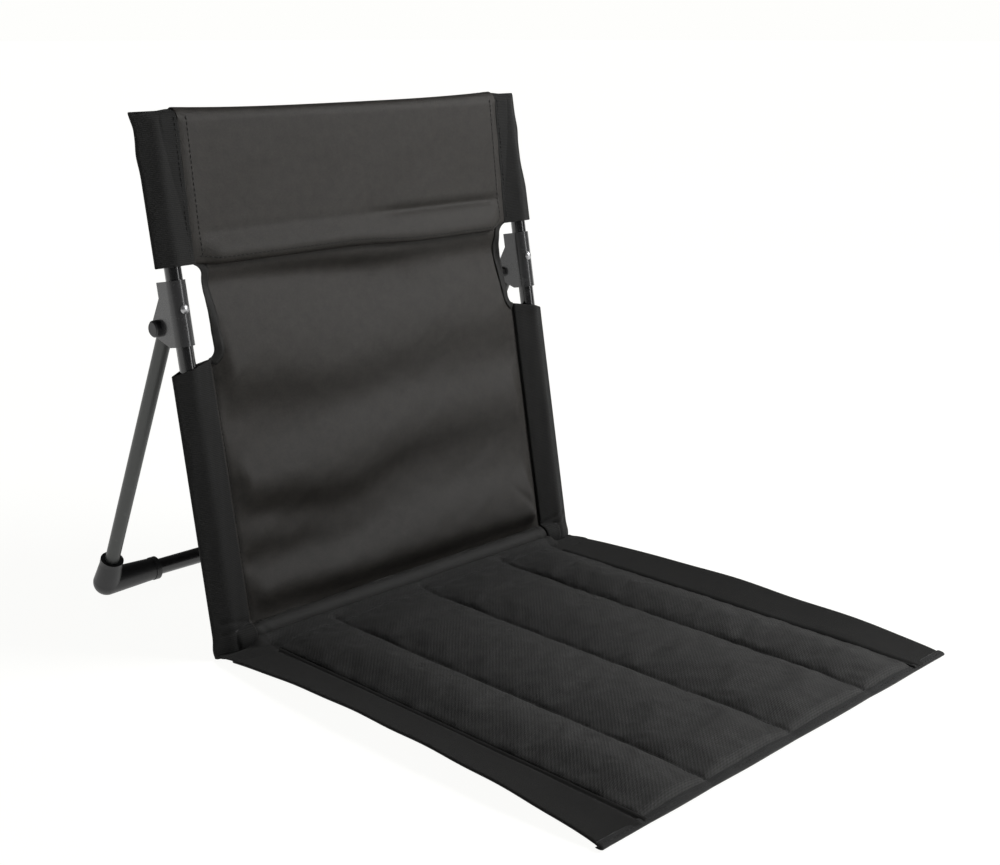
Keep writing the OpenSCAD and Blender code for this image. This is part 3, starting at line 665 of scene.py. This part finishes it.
def pocket_front(x, u):
    """Depth of the pocket's front: the tent, a bulge over the seam, and a fold line above it
    that is deeper on the right. All of that fades towards the bands."""
    bulge = -0.0060 * bump((u - 0.3105) / 0.0085)
    fold = 0.0034 * (0.12 + 0.88 * ease((x + 0.005) / 0.06)) * bump((u - 0.3250) / 0.0036)
    sunk = 0.0007 * bump((u - 0.356) / 0.030)
    soft = 0.0003 * ripple(x, u, 21, 8, 0.04, 0.11) * ease((0.400 - u) / 0.03)
    seam = ease((u - 0.3005) / 0.004)
    under = 0.0009 * (1.0 - ease((SEAM_HALF + 0.0015 - np.abs(x)) / 0.005))
    folds = (bulge + fold + sunk + soft) * from_bands(x)
    return (under - head_tent(u) - POCKET_OUT + folds) * seam


def pocket_drop(x, u):
    """How much lower the pocket's front lies where it bulges: a bell just above the seam, larger
    on the right."""
    drop = 0.0035 + 0.0048 * ease((x + 0.02) / 0.09)
    return drop * bump((u - 0.3080) / 0.0080) * from_bands(x)


def pocket_top(x):
    """Height of the cloth over the top bar: it sags a little between the two bands."""
    return 0.4172 + 0.0028 * np.abs(x / SEAM_HALF) ** 3


pocket_x, pocket_share = steps(-SEAM_HALF - 0.0015, SEAM_HALF + 0.0015, 150)
X = pocket_x[:, None]
front_u = np.linspace(0.3022, OVER_UP, 70)[None]
front_path = pairs(pocket_front(X, front_u), front_u - pocket_drop(X, front_u))
turn = np.linspace(0.0, math.pi, 15)[None, 1:-1]
over_d = -(BAR_WRAP + POCKET_OUT) * np.cos(turn)
over_path = pairs(over_d, OVER_UP + (pocket_top(X) - OVER_UP) * np.sin(turn))
back_u = np.linspace(OVER_UP, 0.3030, 40)[None]
behind = head_tent(back_u) + POCKET_OUT + 0.0003 * ripple(X, back_u, 23, 6, 0.04, 0.1)
pocket_path = even_rows(np.concatenate([front_path, over_path, pairs(behind, back_u)], axis=1), 130)
pocket_middle = on_back(X, pocket_path[..., 0], pocket_path[..., 1]).transpose(1, 0, 2)
pocket_flat = pairs(X.T, np.linspace(SEAM_UP, SEAM_UP + 0.240, 130)[:, None])
pocket = shell("head_pocket_cloth", pocket_middle, np.outer(folded_share(130), pocket_share), pocket_flat,
               BACK_WALL, back_cloth)
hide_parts("head_pocket")
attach(pocket, "back")

# %% [markdown]
# ## The four bands
#
# A band is a strip of heavier cloth folded round an upright and sewn to the panel with its two
# long edges. A squashed cylinder would look inflated. The real section is what a tight loop
# takes: straight runs between the stitching, the tube and the outer fold. The farthest point of
# three circles in each direction draws it.

# %% Section of a band: x, then radius, of the circles at the stitching, the tube and the fold
LOOP = np.array([[SEAM_HALF + 0.0018, 0.0015], [TUBE_X, 0.0074], [HALF_W - 0.0022, 0.0016]])


def band_loop(count):
    """Points (x, d) round the section, from the front seam over the outer fold to the back seam:
    centre + radius * direction of whichever circle reaches farthest that way."""
    angle = np.radians(np.linspace(-180.0, 180.0, 361))
    towards = np.stack([np.cos(angle), np.sin(angle)], axis=-1)
    reach = LOOP[:, 0] * towards[:, :1] + LOOP[:, 1]
    best = reach.argmax(axis=1)
    points = np.stack([LOOP[best, 0], np.zeros(len(best))], axis=-1) + towards * LOOP[best, 1:]
    return even_rows(points, count)


def band(name, side, rows, row_share, shape, node, seed):
    """Folded band: its section carried up the rows, then changed by shape(x, d, u)."""
    loop = band_loop(84)
    u = np.broadcast_to(rows[:, None], (len(rows), len(loop)))
    x = np.broadcast_to(loop[None, :, 0], u.shape)
    d = np.broadcast_to(loop[None, :, 1], u.shape)
    x, d, u = shape(x, d, u)
    d = d + 0.00025 * ripple(x * 2.0, u, seed, 7, 0.02, 0.06) * ease((np.abs(d) - 0.001) / 0.002)
    share = np.outer(row_share, folded_share(len(loop)))
    flat = pairs(np.linspace(0.0, 0.082, len(loop)), u)
    obj = shell(name, on_back(side * x, d, u), share, flat, 0.0012, band_cloth)
    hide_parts(node)
    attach(obj, "back")
    return obj


# %% Head bands
def over_bar(x, d, u, bar_up, radius, tent, way):
    """Depth where a band closes over a cross bar: at least the tent on the side of the bar, and
    past the bar's centre (way +1 is up, -1 is down) no more than sqrt(r^2 - h^2)."""
    past = np.maximum(way * (u - bar_up), 0.0)
    cap = np.sqrt(np.maximum(radius**2 - past**2, 0.0007**2))
    opened = ease((np.abs(d) - 0.0002) / 0.0008) * ease((TUBE_X + 0.005 - x) / 0.010)
    return np.sign(d) * np.minimum(np.maximum(np.abs(d), tent * opened), cap)


def head_shape(side):
    """Shape of one head band: its outer edge flares at the top on the left, and draws in on the
    right, with a small waist below the corner."""

    def shape(x, d, u):
        d = over_bar(x, d, u, TOP_UP, BAR_WRAP, head_tent(u), 1.0)
        outer = ease((x - TUBE_X) / 0.012)
        flare = 0.0026 * ease((u - 0.404) / 0.015)
        if side > 0:
            flare = -0.0030 * ease((u - 0.33) / 0.03)
        waist = 0.0012 * bump((u - 0.386) / 0.009)
        near_seam = ease((0.182 - x) / 0.012) * ease((u - 0.402) / 0.016)
        return x + outer * (flare + waist), d, u + 0.0010 * near_seam

    return shape


head_rows, head_share = steps(SEAM_UP - 0.0005, 0.4182, 74, rim=0.0008)
for side, word in SIDES:
    node = f"head_sleeve_{word}"
    obj = band(f"head_band_{word}", side, head_rows, head_share, head_shape(side), node, 31 + side)


# %% Lower bands
LOW_END = 0.0007
FOOT_R = 0.0100


def low_shape(x, d, u):
    """The top edge slopes down to the outer fold and opens a little, the foot closes round the
    lower bar, and two short creases cross the front above it."""
    part = (u - LOW_END) / (SLEEVE_TOP - LOW_END)
    top = CUT_LOW + (SLEEVE_TOP - CUT_LOW) * (HALF_W - x) / (HALF_W - SEAM_HALF)
    height = LOW_END + part * (top - LOW_END)
    foot = np.sqrt(np.maximum(FOOT_R**2 - (height - BAR_UP) ** 2, 0.0))
    opened = d * (1.0 + 0.10 * bump((part - 0.985) / 0.02))
    d = over_bar(x, opened, height, BAR_UP, FOOT_R, foot, -1.0)
    crease = 0.0015 * bump((height - 0.0262 - 0.20 * (x - TUBE_X)) / 0.0017)
    crease = crease + 0.0012 * bump((height - 0.0185 + 0.10 * (x - TUBE_X)) / 0.0015)
    d = d + np.where(d < -0.001, crease, 0.0) * ease((0.199 - x) / 0.006)
    outer = ease((x - TUBE_X) / 0.010)
    return x + 0.0014 * outer * bump((height - 0.007) / 0.006), d, height


low_rows, low_share = steps(LOW_END, SLEEVE_TOP, 130)
for side, word in SIDES:
    node = f"back_sleeve_{word}"
    obj = band(f"back_band_{word}", side, low_rows, low_share, low_shape, node, 41 + side)

# %% [markdown]
# ## The roll at the crease
#
# At the bottom the cloth is rolled round the lower bar. It touches the ground, so it is flat
# there. It is a spiral of a little more than one turn, carried along the bar, with shallow
# creases at its ends; a torus or tube would show no lap and no wear.

# %% Roll
roll_x, roll_share = steps(-SEAM_HALF - 0.0025, SEAM_HALF + 0.0025, 170)
angle = np.linspace(math.radians(70), math.radians(70 + 372), 72)
A, XR = np.meshgrid(angle, roll_x, indexing="ij")
end_in = ease((SEAM_HALF + 0.0025 - np.abs(XR)) / 0.010)
creases = 0.0007 * np.sin(XR * 2.0 * math.pi / 0.011 + 2.0 * A) * ease((np.abs(XR) - 0.140) / 0.03)
radius = (ROLL_R - 0.0012) * (0.80 + 0.20 * end_in) + creases * end_in
radius = radius + 0.0003 * ripple(XR, A * 0.012, 51, 7, 0.03, 0.09) - 0.0009 * ease((-0.06 - XR) / 0.10)
roll_middle = on_back(XR, -radius * np.cos(A), BAR_UP + radius * np.sin(A))
roll_middle[..., 2] = np.maximum(roll_middle[..., 2], 0.0006)
around_share = np.ones(len(angle))
around_share[[0, -1]] = 0.0
# The roll's darker cloth is painted shade
roll = shell("crease_roll_cloth", roll_middle, np.outer(around_share, roll_share), pairs(XR, A * ROLL_R),
             0.0010, roll_shade_and_tape_cloth)
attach(roll, "back")

# %% [markdown]
# ## The quilted seat
#
# The seat is two layers of cloth with foam strips between them, sewn together along three
# lines, so four channels stand up between the seams. Formulas alone give smooth channels, but
# real ones pucker. So the worked-out cover is simulated: it is pinned along the seams, cut a
# little too large, and blown up from below, and half of how far it moves is added.


# %% Cover's worked-out shape
def crown(x):
    """0 at a seam and 1 in the middle of its channel: a sine over the channel to the power 0.55,
    which rises more slowly from the two outer sides."""
    which = np.clip(np.searchsorted(CHANNEL_SEAMS, x, side="right") - 1, 0, 3)
    low, high = CHANNEL_SEAMS[which], CHANNEL_SEAMS[which + 1]
    arch = np.clip(np.sin(np.pi * (x - low) / (high - low)), 0.0, 1.0) ** 0.55
    return np.minimum(arch, ease((PAD_HALF - np.abs(x)) / 0.032) ** 0.7)


def cover_height(x, y):
    """Crowned channels that flatten towards the front edge and the crease."""
    full = 0.0066 + 0.0074 * crown(x)
    rear = 0.0066 + 0.0012 * ease((PAD_HALF - np.abs(x)) / 0.020) + 0.0030 * crown(x)
    brow = 0.0058 + 0.0044 * crown(x)
    front = 0.0038 + 0.0026 * crown(x)
    body = brow + (full - brow) * ease((y - PAD_FRONT - 0.004) / 0.042)
    body = body + (rear - body) * ease(1.0 - (PAD_REAR - y) / 0.050)
    return front + (body - front) * ease((y - PAD_FRONT + 0.001) / 0.009)


# %% Simulation of the cover
SIM_X = np.linspace(-PAD_HALF, PAD_HALF, 129)
SIM_Y = np.linspace(PAD_FRONT, PAD_REAR, 124)
SIM_FRAMES = 22
FARTHEST = 0.004


def simulate_cover():
    """How far the cover moves in the frames of cloth: pinned at the seams and the border, 1.2%
    too large, pressed up from below. No point may move farther than the farthest."""
    sy, sx = np.meshgrid(SIM_Y, SIM_X, indexing="ij")
    start = on_ground(sx, sy, cover_height(sx, sy))
    index = np.arange(sx.size).reshape(sx.shape)
    mesh = bpy.data.meshes.new("cover_sim")
    mesh.from_pydata(start.reshape(-1, 3), [], cells(index))
    sim = bpy.data.objects.new("cover_sim", mesh)
    bpy.context.scene.collection.objects.link(sim)
    nearest = np.abs(sx[..., None] - CHANNEL_SEAMS).min(-1)
    border = (sy <= PAD_FRONT + 1e-6) | (sy >= PAD_REAR - 1e-6)
    pins = sim.vertex_groups.new(name="pins")
    pins.add(index[(nearest < 0.0013) | border].tolist(), 1.0, "REPLACE")
    modifier = sim.modifiers.new("cloth", "CLOTH")
    settings = modifier.settings
    settings.vertex_group_mass = "pins"
    settings.quality = 6
    settings.mass = 0.25
    settings.tension_stiffness = 18
    settings.compression_stiffness = 18
    settings.shear_stiffness = 6
    settings.bending_stiffness = 2.5
    settings.shrink_min = -0.012
    settings.use_pressure = True
    settings.uniform_pressure_force = 0.6
    settings.effector_weights.gravity = 0.0
    modifier.collision_settings.use_self_collision = False
    modifier.point_cache.frame_start = 1
    modifier.point_cache.frame_end = SIM_FRAMES
    for step in range(1, SIM_FRAMES + 1):
        bpy.context.scene.frame_set(step)
    done = sim.evaluated_get(bpy.context.evaluated_depsgraph_get()).data
    moved = np.empty(len(done.vertices) * 3)
    done.vertices.foreach_get("co", moved)
    bpy.context.scene.frame_set(1)
    bpy.data.objects.remove(sim)
    shift = moved.reshape(start.shape) - start
    far = np.linalg.norm(shift, axis=-1, keepdims=True)
    return shift * np.minimum(1.0, FARTHEST / np.maximum(far, 1e-9))


def between(field, x, y):
    """Value of a field on the simulation grid at x, y, by straight lines between its points."""
    i = np.clip((x - SIM_X[0]) / (SIM_X[1] - SIM_X[0]), 0, len(SIM_X) - 1.001)
    j = np.clip((y - SIM_Y[0]) / (SIM_Y[1] - SIM_Y[0]), 0, len(SIM_Y) - 1.001)
    i0, j0 = i.astype(int), j.astype(int)
    fi, fj = (i - i0)[..., None], (j - j0)[..., None]
    low = field[j0, i0] * (1 - fi) + field[j0, i0 + 1] * fi
    high = field[j0 + 1, i0] * (1 - fi) + field[j0 + 1, i0 + 1] * fi
    return low * (1 - fj) + high * fj


# %% Pad mesh
# Columns stand closer together beside the seams
PER_CHANNEL = 44
even = np.linspace(0.0, 1.0, PER_CHANNEL + 1)[:-1]
crowded = 0.6 * even + 0.4 * (0.5 - 0.5 * np.cos(even * math.pi))
starts, widths = CHANNEL_SEAMS[:-1, None], np.diff(CHANNEL_SEAMS)[:, None]
pad_x = np.append((starts + widths * crowded).ravel(), PAD_HALF)
pad_y = np.linspace(PAD_FRONT, PAD_REAR, 176)
PY, PX = np.meshgrid(pad_y, pad_x, indexing="ij")
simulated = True
swell = 0.5 * between(simulate_cover(), PX, PY) if simulated else np.zeros(PX.shape + (3,))
pad_top = on_ground(PX, PY, cover_height(PX, PY)) + swell
groove = np.abs(PX[..., None] - CHANNEL_SEAMS[1:-1]).min(-1)
pad_top[..., 2] -= 0.0008 * bump(groove / 0.0026) * ease((PY - PAD_FRONT) / 0.004)
pad_top[..., 2] -= 0.0012 * bump((PAD_HALF - np.abs(PX)) / 0.0022)
pad_top[..., 2] = np.maximum(pad_top[..., 2], 0.0026)
pad_bottom = on_ground(PX, PY, 0.0 * PX)
inside = ease((PAD_HALF - np.abs(PX)) / 0.004)
inside = inside * ease((PY - PAD_FRONT) / 0.004) * ease((PAD_REAR - PY) / 0.004)
pad_bottom[..., 2] = pad_top[..., 2] * 0.5 * (1.0 - inside)
pad_top = np.where((inside == 0.0)[..., None], pad_bottom, pad_top)
pad = closed("seat_pad", pad_top, pad_bottom, pairs(PX, PY), seat_cloth)
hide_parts("seat_cover", "seat_base", "seat_foam_1", "seat_foam_2", "seat_foam_3", "seat_foam_4")
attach(pad, "seat")
print("seat pad height", round(float(pad_top[..., 2].max()), 4), "m, simulated:", simulated)

# %% [markdown]
# ## Side strips, web and front binding
#
# Plain strips of doubled cloth run along both sides of the pad. They don't lie flat: the outer
# edge arches off the ground between its two ends, more on the left than on the right. A short
# web of seat cloth runs from the roll to the pad. The front edge is bound with a narrow tape
# that follows the ends of the channels.


# %% Side strips
STRIP_ARCH = {-1: 0.013, 1: 0.0095}
STRIP_SEAM_UP = 0.0044


def strip_rise(arch, y):
    """Height of a strip's outer edge: arch * sin^0.6 of half a turn from the crease to the front."""
    return 0.0013 + arch * np.sin(math.pi * np.clip((y + 0.004) / (PAD_FRONT + 0.004), 0, 1)) ** 0.6


def strip_middle(side, arch, part, along):
    """Middle surface of a strip: level with the seam inside, the outer edge arched as strip_rise
    says, with a few shallow waves and a valley where it is sewn on."""
    x = side * (PAD_HALF - 0.002 + (HALF_W - PAD_HALF + 0.002) * part)
    y = PAD_REAR + 0.002 + (PAD_FRONT - PAD_REAR - 0.004) * along
    raised = strip_rise(arch, y)
    wave = 0.0005 * ripple(x * 0.6, y, 60 + side, 6, 0.05, 0.13)
    wave = wave * ease(part * 3) * ease(6 * along) * ease(6 * (1 - along))
    z = STRIP_SEAM_UP + (raised - STRIP_SEAM_UP) * part + wave
    sag = -0.0008 * np.sin(math.pi * part) - 0.0020 * bump((part - 0.10) / 0.035)
    return on_ground(x, y, np.maximum(z + sag, 0.0013))


part, part_share = steps(0.0, 1.0, 30, rim=0.03)
along, along_share = steps(0.0, 1.0, 130, rim=0.003)
AL, PA = np.meshgrid(along, part, indexing="ij")
for side, word in SIDES:
    middle = strip_middle(side, STRIP_ARCH[side], PA, AL)
    share = np.outer(along_share, part_share)
    obj = shell(f"seat_side_{word}", middle, share, middle[..., :2], 0.0024, strip_cloth)
    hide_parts(f"seat_strip_{word}")
    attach(obj, "seat")

# %% Web between the roll and the pad
# It leaves the roll at web_start, further back and lower at the feet of the two side bands, and
# eases down to the skin of the pad and of the strips, where it dips at the seams
web_x, web_share = steps(-HALF_W, HALF_W, 260)
web_t, web_row_share = steps(0.0, 1.0, 24, rim=0.03)
WT, WX = np.meshgrid(web_t, web_x, indexing="ij")
at_foot = ease((np.abs(WX) - SEAM_HALF) / 0.014)
web_back = -0.0072 + 0.0048 * at_foot
web_start = FOLD_UP - 0.0004 - 0.0082 * at_foot
web_y = web_back * (1.0 - WT) + (PAD_REAR - 0.0050) * WT
pad_skin = cover_height(np.clip(WX, -PAD_HALF, PAD_HALF), np.minimum(web_y, PAD_REAR))
outer_edge = strip_rise(np.where(WX < 0, STRIP_ARCH[-1], STRIP_ARCH[1]), web_y)
beside = np.clip((np.abs(WX) - PAD_HALF) / (HALF_W - PAD_HALF), 0.0, 1.0)
strip_skin = 0.0056 + (outer_edge - STRIP_SEAM_UP) * beside
skin = pad_skin + (strip_skin - pad_skin) * ease((np.abs(WX) - PAD_HALF + 0.002) / 0.004)
reached = ease((web_back - web_y) / 0.0105)
web_z = web_start + (skin - 0.0001 - web_start) * reached
web_z = web_z - 0.0010 * ease((-0.0222 - web_y) / 0.0060)
seam_gap = np.abs(np.abs(WX)[..., None] - np.abs(CHANNEL_SEAMS)).min(-1)
web_z = web_z - 0.0008 * bump(seam_gap / 0.0026) * ease(reached * 2.0 - 0.3)
web = shell("crease_web", on_ground(WX, web_y, web_z), np.outer(web_row_share, web_share),
            pairs(WX, web_y), 0.0012, seat_cloth)
web.data.materials.append(strip_cloth)
middles = np.empty(len(web.data.polygons) * 3)
web.data.polygons.foreach_get("center", middles)
web.data.polygons.foreach_set("material_index", (np.abs(middles[0::3]) > PAD_HALF).astype(np.int32))
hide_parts("seat_web", "crease_sleeve")
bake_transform(web)

# %% Front binding
def channel_end(x):
    """Crown of the channels at the front edge, 0 beside the pad."""
    return ease((PAD_HALF - np.abs(x)) / 0.006) * crown(np.clip(x, -0.1599, 0.1599))


bind_x, bind_share = steps(-HALF_W - 0.0004, HALF_W + 0.0004, 200)
bind_t, bind_row_share = steps(0.0, 1.0, 22, rim=0.04)
BT, BX = np.meshgrid(bind_t, bind_x, indexing="ij")
end_height = 0.0032 + 0.0020 * channel_end(BX) + 0.0003 * ripple(BX, 0 * BX, 81, 6, 0.03, 0.08)
half_turn = (BT - 0.5) * math.pi
bind_y = PAD_FRONT + 0.0036 - 0.0060 * np.cos(half_turn) ** 0.6 - 0.0010 * channel_end(BX)
bind_z = 0.0007 + end_height * (0.5 - 0.5 * np.sin(half_turn))
binding = shell("seat_front_binding", on_ground(BX, bind_y, bind_z), np.outer(bind_row_share, bind_share),
                pairs(BX, 0.02 * BT), 0.0010, hem_cloth)
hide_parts("seat_front_hem")
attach(binding, "seat")

# %% [markdown]
# ## Bound edges and stitches
#
# The free edges beside the brackets are bound with tape folded round the raw cloth. Every seam
# shows a row of lock stitches. A dashed line in the cloth's colour would do from afar, but close
# up a stitch is a short thread that dips into the cloth at both ends. One array places all
# stitches of a seam along its line, each with twenty points.


# %% Tape round the free edges
def edge_line(count):
    """Line (x, u) along a free edge of the panel and its outward direction: (du, -dx) of the
    line, so that it points away from the cloth round the corners too."""
    u = np.linspace(SLEEVE_TOP - 0.004, SEAM_UP - 0.0002, 900)
    line = even_rows(np.stack([panel_edge(u), u], axis=-1), count)
    along = np.gradient(line, axis=0)
    along /= np.linalg.norm(along, axis=-1, keepdims=True)
    return line, np.stack([along[:, 1], -along[:, 0]], axis=-1)


TAPE_W = 0.0146
tape_line, tape_out = edge_line(96)
tape_turn = np.linspace(-0.5, 0.5, 19) * math.pi
tape_in = 0.0007 - 0.0066 * (1.0 - np.cos(tape_turn) ** 0.7)
place = tape_line[:, None] + tape_out[:, None] * tape_in[None, :, None]
tape_x, tape_u = place[..., 0], place[..., 1]
flat = pairs(np.linspace(0.0, TAPE_W, 19), tape_line[:, 1:])
for side, word in SIDES:
    wave = 0.0002 * ripple(tape_x, tape_u, 90 + side, 5, 0.008, 0.02)
    depth = panel_depth(side * tape_x, tape_u) + 0.0009 * np.sin(tape_turn) + wave
    share = np.outer(folded_share(96), folded_share(19))
    middle = on_back(side * tape_x, depth, tape_u)
    obj = shell(f"cutout_tape_{word}", middle, share, flat, 0.0006, roll_shade_and_tape_cloth)
    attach(obj, "back")


# %% Stitches
PITCH = 0.0040
LENGTH = 0.0032
RADIUS = 0.00028


def stitches(name, line, up, body):
    """Row of threads along a line: rings of six points whose radius goes 0, 0.8, 1, 0.8, 0 along
    each thread, with the two ends lower by 1.4 times the thread's radius."""
    total = float(np.linalg.norm(np.diff(line, axis=0), axis=1).sum())
    count = max(int(total / PITCH), 2)
    spots = even_rows(line, 2 * count + 1)
    centre, ahead = spots[1::2], spots[2::2] - spots[:-2:2]
    ahead = ahead / np.linalg.norm(ahead, axis=1, keepdims=True)
    up = np.broadcast_to(np.asarray(up, dtype=float), centre.shape)
    side = np.cross(ahead, up)
    side /= np.linalg.norm(side, axis=1, keepdims=True)
    up = np.cross(side, ahead)
    round_at = np.tile(np.arange(6) * math.pi / 3.0, 3)
    wide = np.repeat([0.8, 1.0, 0.8], 6)
    low = np.repeat([-0.4, 0.3, -0.4], 6)
    t = np.append(np.repeat([-0.36, 0.0, 0.36], 6), [-0.5, 0.5]) * LENGTH
    a = np.append(wide * np.cos(round_at), [0.0, 0.0]) * RADIUS
    b = np.append(wide * np.sin(round_at) + low, [-1.4, -1.4]) * RADIUS
    points = centre[:, None]
    for amount, way in ((t, ahead), (a, side), (b, up)):
        points = points + amount[:, None] * way[:, None]
    here = np.arange(6)
    there = (here + 1) % 6
    first_ring = np.stack([here, there, 6 + there, 6 + here], axis=-1)
    quads = np.concatenate([first_ring, first_ring + 6])
    tail = np.stack([there, here, np.full(6, 18)], axis=-1)
    tip = np.stack([12 + here, 12 + there, np.full(6, 19)], axis=-1)
    caps = np.concatenate([tail, tip])
    start = (np.arange(len(centre)) * 20)[:, None, None]
    faces = (quads + start).reshape(-1, 4).tolist() + (caps + start).reshape(-1, 3).tolist()
    flat = np.stack([np.tile(t, len(centre)), np.tile(a, len(centre))], axis=-1)
    obj = add_mesh(name, points.reshape(-1, 3), faces, flat, thread)
    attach(obj, body)
    return len(centre)


# %% Rows on the back
FRONT_OF_BACK = (0.0, -math.cos(RECLINE), math.sin(RECLINE))
STITCH_UP = 0.3085
THREAD_OUT = 0.0008
row_x = np.linspace(-SEAM_HALF + 0.003, SEAM_HALF - 0.003, 200)
row_d = pocket_front(row_x, STITCH_UP) - THREAD_OUT
line = on_back(row_x, row_d, STITCH_UP - pocket_drop(row_x, STITCH_UP))
made = stitches("pocket_stitches", line, FRONT_OF_BACK, "back")
head_u = np.linspace(SEAM_UP + 0.004, TOP_UP + 0.003, 90)
low_u = np.linspace(0.030, SLEEVE_TOP - 0.004, 90)
for side, word in SIDES:
    line = on_back(side * (SEAM_HALF + 0.0042), -np.maximum(head_tent(head_u), 0.0022) - 0.0009, head_u)
    made += stitches(f"head_band_stitches_{word}", line, FRONT_OF_BACK, "back")
    x = side * (SEAM_HALF - 0.0060)
    line = on_back(x, pocket_front(x, head_u) - THREAD_OUT, head_u)
    made += stitches(f"pocket_side_stitches_{word}", line, FRONT_OF_BACK, "back")
    x = side * (SEAM_HALF - 0.0024)
    line = on_back(x, panel_depth(x, low_u) - 0.0006, low_u)
    made += stitches(f"back_band_stitches_{word}", line, FRONT_OF_BACK, "back")

# %% Rows on the seat
for number in (1, 2, 3):
    line = pad_top[3:-3, PER_CHANNEL * number] + (0.0, 0.0, 0.0004)
    made += stitches(f"seat_seam_stitches_{number}", line, (0, 0, 1), "seat")
for side, word in SIDES:
    line = strip_middle(side, STRIP_ARCH[side], 0.10, np.linspace(0.06, 0.985, 160)) + (0.0, 0.0, 0.0014)
    made += stitches(f"strip_stitches_{word}", line, (0, 0, 1), "seat")
row_x = np.linspace(-HALF_W + 0.003, HALF_W - 0.003, 200)
inner = channel_end(row_x)
line = on_ground(row_x, PAD_FRONT - 0.0012 - 0.0010 * inner, 0.0040 + 0.0017 * inner)
made += stitches("front_stitches", line, (0.0, -0.5, 0.86), "seat")
print(made, "stitches in all")

# %% [markdown]
# ## Floor
#
# The chair stands on a pale studio floor that fades into the room without a horizon. Lamps
# strong enough to make a floor look white would wash out black cloth, so the disc glows by
# itself instead, a little less near the chair, and takes only a faint shadow.

# %% Floor disc: glow is 0.95 up to half a metre away and 1 from three metres on
FLOOR_R = 30.0
floor_data = bpy.data.meshes.new("floor")
turns = np.linspace(0.0, 2.0 * math.pi, 97)[:-1]
ring = np.stack([FLOOR_R * np.cos(turns), FLOOR_R * np.sin(turns), 0 * turns - 0.0001], axis=-1)
floor_data.from_pydata(ring, [], [list(range(96))])
floor = bpy.data.objects.new("floor", floor_data)
bpy.context.scene.collection.objects.link(floor)
floor_paint = bpy.data.materials.new("pale_floor")
floor_paint.use_nodes = True
floor_tree = floor_paint.node_tree
floor_shader = floor_tree.nodes["Principled BSDF"]
floor_shader.inputs["Base Color"].default_value = (0.09, 0.09, 0.089, 1.0)
floor_shader.inputs["Roughness"].default_value = 0.9
floor_place = floor_tree.nodes.new("ShaderNodeTexCoord")
floor_far = floor_tree.nodes.new("ShaderNodeVectorMath")
floor_far.operation = "LENGTH"
floor_tree.links.new(floor_place.outputs["Object"], floor_far.inputs[0])
past = calc(floor_tree, "SUBTRACT", floor_far.outputs["Value"], 0.5)
brighter = calc(floor_tree, "DIVIDE", past, 2.5, clamp=True)
glow = calc(floor_tree, "ADD", 0.95, calc(floor_tree, "MULTIPLY", brighter, 0.05))
floor_tree.links.new(tinted(floor_tree, (1.0, 1.0, 0.985), glow), floor_shader.inputs["Emission Color"])
floor_shader.inputs["Emission Strength"].default_value = 1.0
floor_data.materials.append(floor_paint)
print("floor radius", FLOOR_R, "m")
